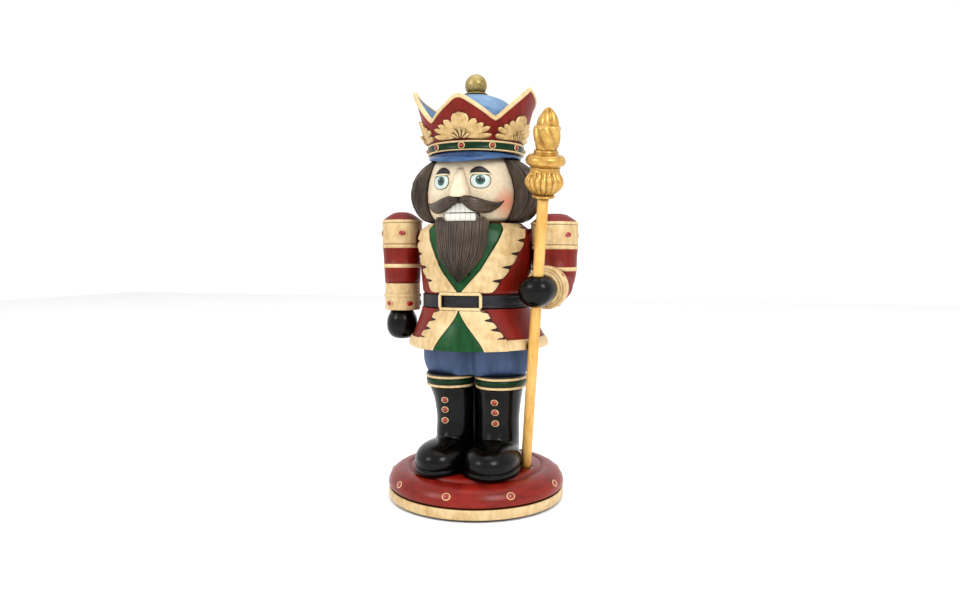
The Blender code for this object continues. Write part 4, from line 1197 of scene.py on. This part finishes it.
def fluted(profile, count, lobes, depth, twist=0.0):
    """Loops of a fluted part of the staff's head: rows of (radius, height, how deep the flutes cut)."""
    loops = []
    for r, z, share in profile:
        loop = []
        for i in range(count):
            a = TAU * i / count
            groove = abs(math.sin(lobes * (a + twist * (z + HEAD_SEAT)) / 2)) ** 0.6
            reach = max(0.01, r - depth * share * (1 - groove))
            loop.append(Vector((reach * math.sin(a), -reach * math.cos(a), z)))
        loops.append(loop)
    return loops


def make_staff():
    shaft = Piece("staff_pole", STAFF_GOLD)
    rows = [(0.01, 0.2), (3.3, 0.2), (3.7, 1.2), (4.2, 5.2)] + [(4.27, z) for z in spread(12, 228, 18)]
    rows += [(4.27, 230.7), (0.01, 230.7)]
    shaft.skin(turned(rows, 40), matrix=standing(STAFF_FOOT, STAFF_LEAN))
    shaft.done("staff", hides=("staff_shaft",), slot="staff_paint")

    seat = standing(STAFF_FOOT + STAFF_LEAN * HEAD_SEAT, STAFF_LEAN)
    head = Piece("staff_finial", HEAD_GOLD)
    collar = filleted([(0, 0), (8.3, 0), (8.9, 1.3), (7.8, 2.6), (0, 2.6)], 0.5)
    head.skin(turned(collar, 64), matrix=seat)
    bulb = catmull(((7.0, 2.0, 0.0), (8.8, 3.4, 0.6), (12.0, 6.0, 1.0), (14.2, 9.2, 1), (14.8, 12.0, 1),
                    (14.0, 15.0, 1), (12.4, 17.6, 0.9), (11.3, 19.4, 0.4)), 4)
    bulb = [(0.01, 2.0, 0.0)] + bulb + [(0.01, 19.4, 0.0)]
    head.skin(fluted(bulb, 144, 18, 1.9), matrix=seat)
    rings = filleted([(0, 18.9), (11.2, 18.9), (11.6, 19.8), (11.3, 20.6), (11.2, 21.8), (11.7, 22.5),
                      (11.0, 23.3), (12.6, 23.8), (14.6, 25.2), (15.1, 27.6), (14.6, 29.8), (12.6, 31.8),
                      (9.6, 32.6), (9.0, 33.2), (9.3, 34.0), (9.0, 35.0), (8.0, 35.6), (0, 35.6)], 0.8, 4)
    head.skin(turned(rings, 96), matrix=seat)
    bud = catmull(((7.6, 35.0, 0.2), (8.6, 37.5, 0.7), (9.6, 41.0, 1), (10.3, 45.5, 1), (10.5, 49.5, 1),
                   (10.2, 51.8, 0.8), (8.9, 53.2, 0.4)), 5)
    bud = [(0.01, 35.0, 0.0)] + bud + [(0.01, 53.0, 0.0)]
    head.skin(fluted(bud, 120, 5, 2.6, 0.07), matrix=seat)
    flame = catmull(((7.8, 49.5, 0.2), (8.5, 52.3, 0.8), (8.6, 55.0, 1), (7.8, 58.0, 1), (6.3, 61.0, 1),
                     (4.3, 63.7, 0.9), (2.0, 65.7, 0.5), (0.4, 66.3, 0)), 5)
    flame = [(0.01, 49.5, 0.0)] + flame + [(0.01, 66.4, 0.0)]
    head.skin(fluted(flame, 96, 4, 2.4, 0.02), matrix=seat)
    head.done("staff", hides=("staff_head",), slot="staff_paint")


# ---------------------------------------------------------------- the figure and its setting


WOOD = painted("bare_wood", (188, 146, 98), (214, 176, 126), (146, 104, 62), 0.55, streak=(1, 0.12, 1),
               grain=300, rub=0.1, antiquing_and_shade=0.5)
STEEL = plain("steel", (150, 150, 152), 0.35, metallic=1.0, vary=0.1)


def camera():
    """Seen from a little towards the staff and slightly above the belt."""
    data = bpy.data.cameras.new("camera")
    data.lens, data.sensor_width = 28.125, 36.0
    holder = bpy.data.objects.new("camera", data)
    holder.location = 0.1862, -0.6092, 0.204
    pitch, yaw = -0.058, math.radians(17) - 0.0053
    holder.rotation_euler = math.pi / 2 + pitch, 0, yaw
    bpy.context.scene.collection.objects.link(holder)
    bpy.context.scene.camera = holder


def light(name, place, aim, size, power):
    """A square soft light aimed at a height on the figure's axis."""
    data = bpy.data.lights.new(name, "AREA")
    data.shape, data.size, data.energy = "SQUARE", size, power
    lamp = bpy.data.objects.new(name, data)
    lamp.location = place
    lamp.rotation_euler = (Vector((0, 0, aim)) - Vector(place)).to_track_quat("-Z", "Y").to_euler()
    bpy.context.scene.collection.objects.link(lamp)


def setting():
    camera()
    light("key", (0.75, -0.75, 0.85), 0.17, 0.45, 5.0)
    light("left", (-0.75, -0.85, 0.75), 0.17, 0.4, 3.0)
    light("top", (0.1, 0.0, 1.3), 0.2, 0.8, 2.5)
    floor = Piece("floor")
    floor.skin([[Vector((x, y, z)) for x, y in ((-3000, -3000), (3000, -3000), (3000, 3000), (-3000, 3000))]
                for z in (-4.0, -0.2)])
    ground = bpy.data.materials.new("studio_floor")
    ground.use_nodes = True
    surface = ground.node_tree.nodes["Principled BSDF"].inputs
    surface["Base Color"].default_value, surface["Roughness"].default_value = (0.99, 0.99, 0.99, 1), 0.9
    floor.materials = (ground,)
    floor.done()
    world = bpy.data.worlds.new("studio")
    world.use_nodes = True
    sky = world.node_tree.nodes["Background"].inputs
    sky["Color"].default_value, sky["Strength"].default_value = (1, 1, 1, 1), 0.95
    scene = bpy.context.scene
    scene.world = world
    scene.view_settings.view_transform, scene.view_settings.look = "Standard", "Medium High Contrast"


def repaint(material, *nodes):
    """Gives CAD nodes that are kept as they are their looks."""
    for name in nodes:
        data = frame["nodes"][name].data
        data.materials.clear()
        data.materials.append(material)


for make in (make_base, make_legs, make_skirt, make_belt, make_torso, make_jaw, make_face, make_moustache,
             make_hair, make_hat, make_left_arm, make_right_arm, make_shoulders, make_staff):
    make()
repaint(FELT, "base_felt")
repaint(WOOD, "leg_dowel_left", "leg_dowel_right", "arm_dowel_left", "arm_dowel_right")
repaint(STEEL, "jaw_pin")
setting()
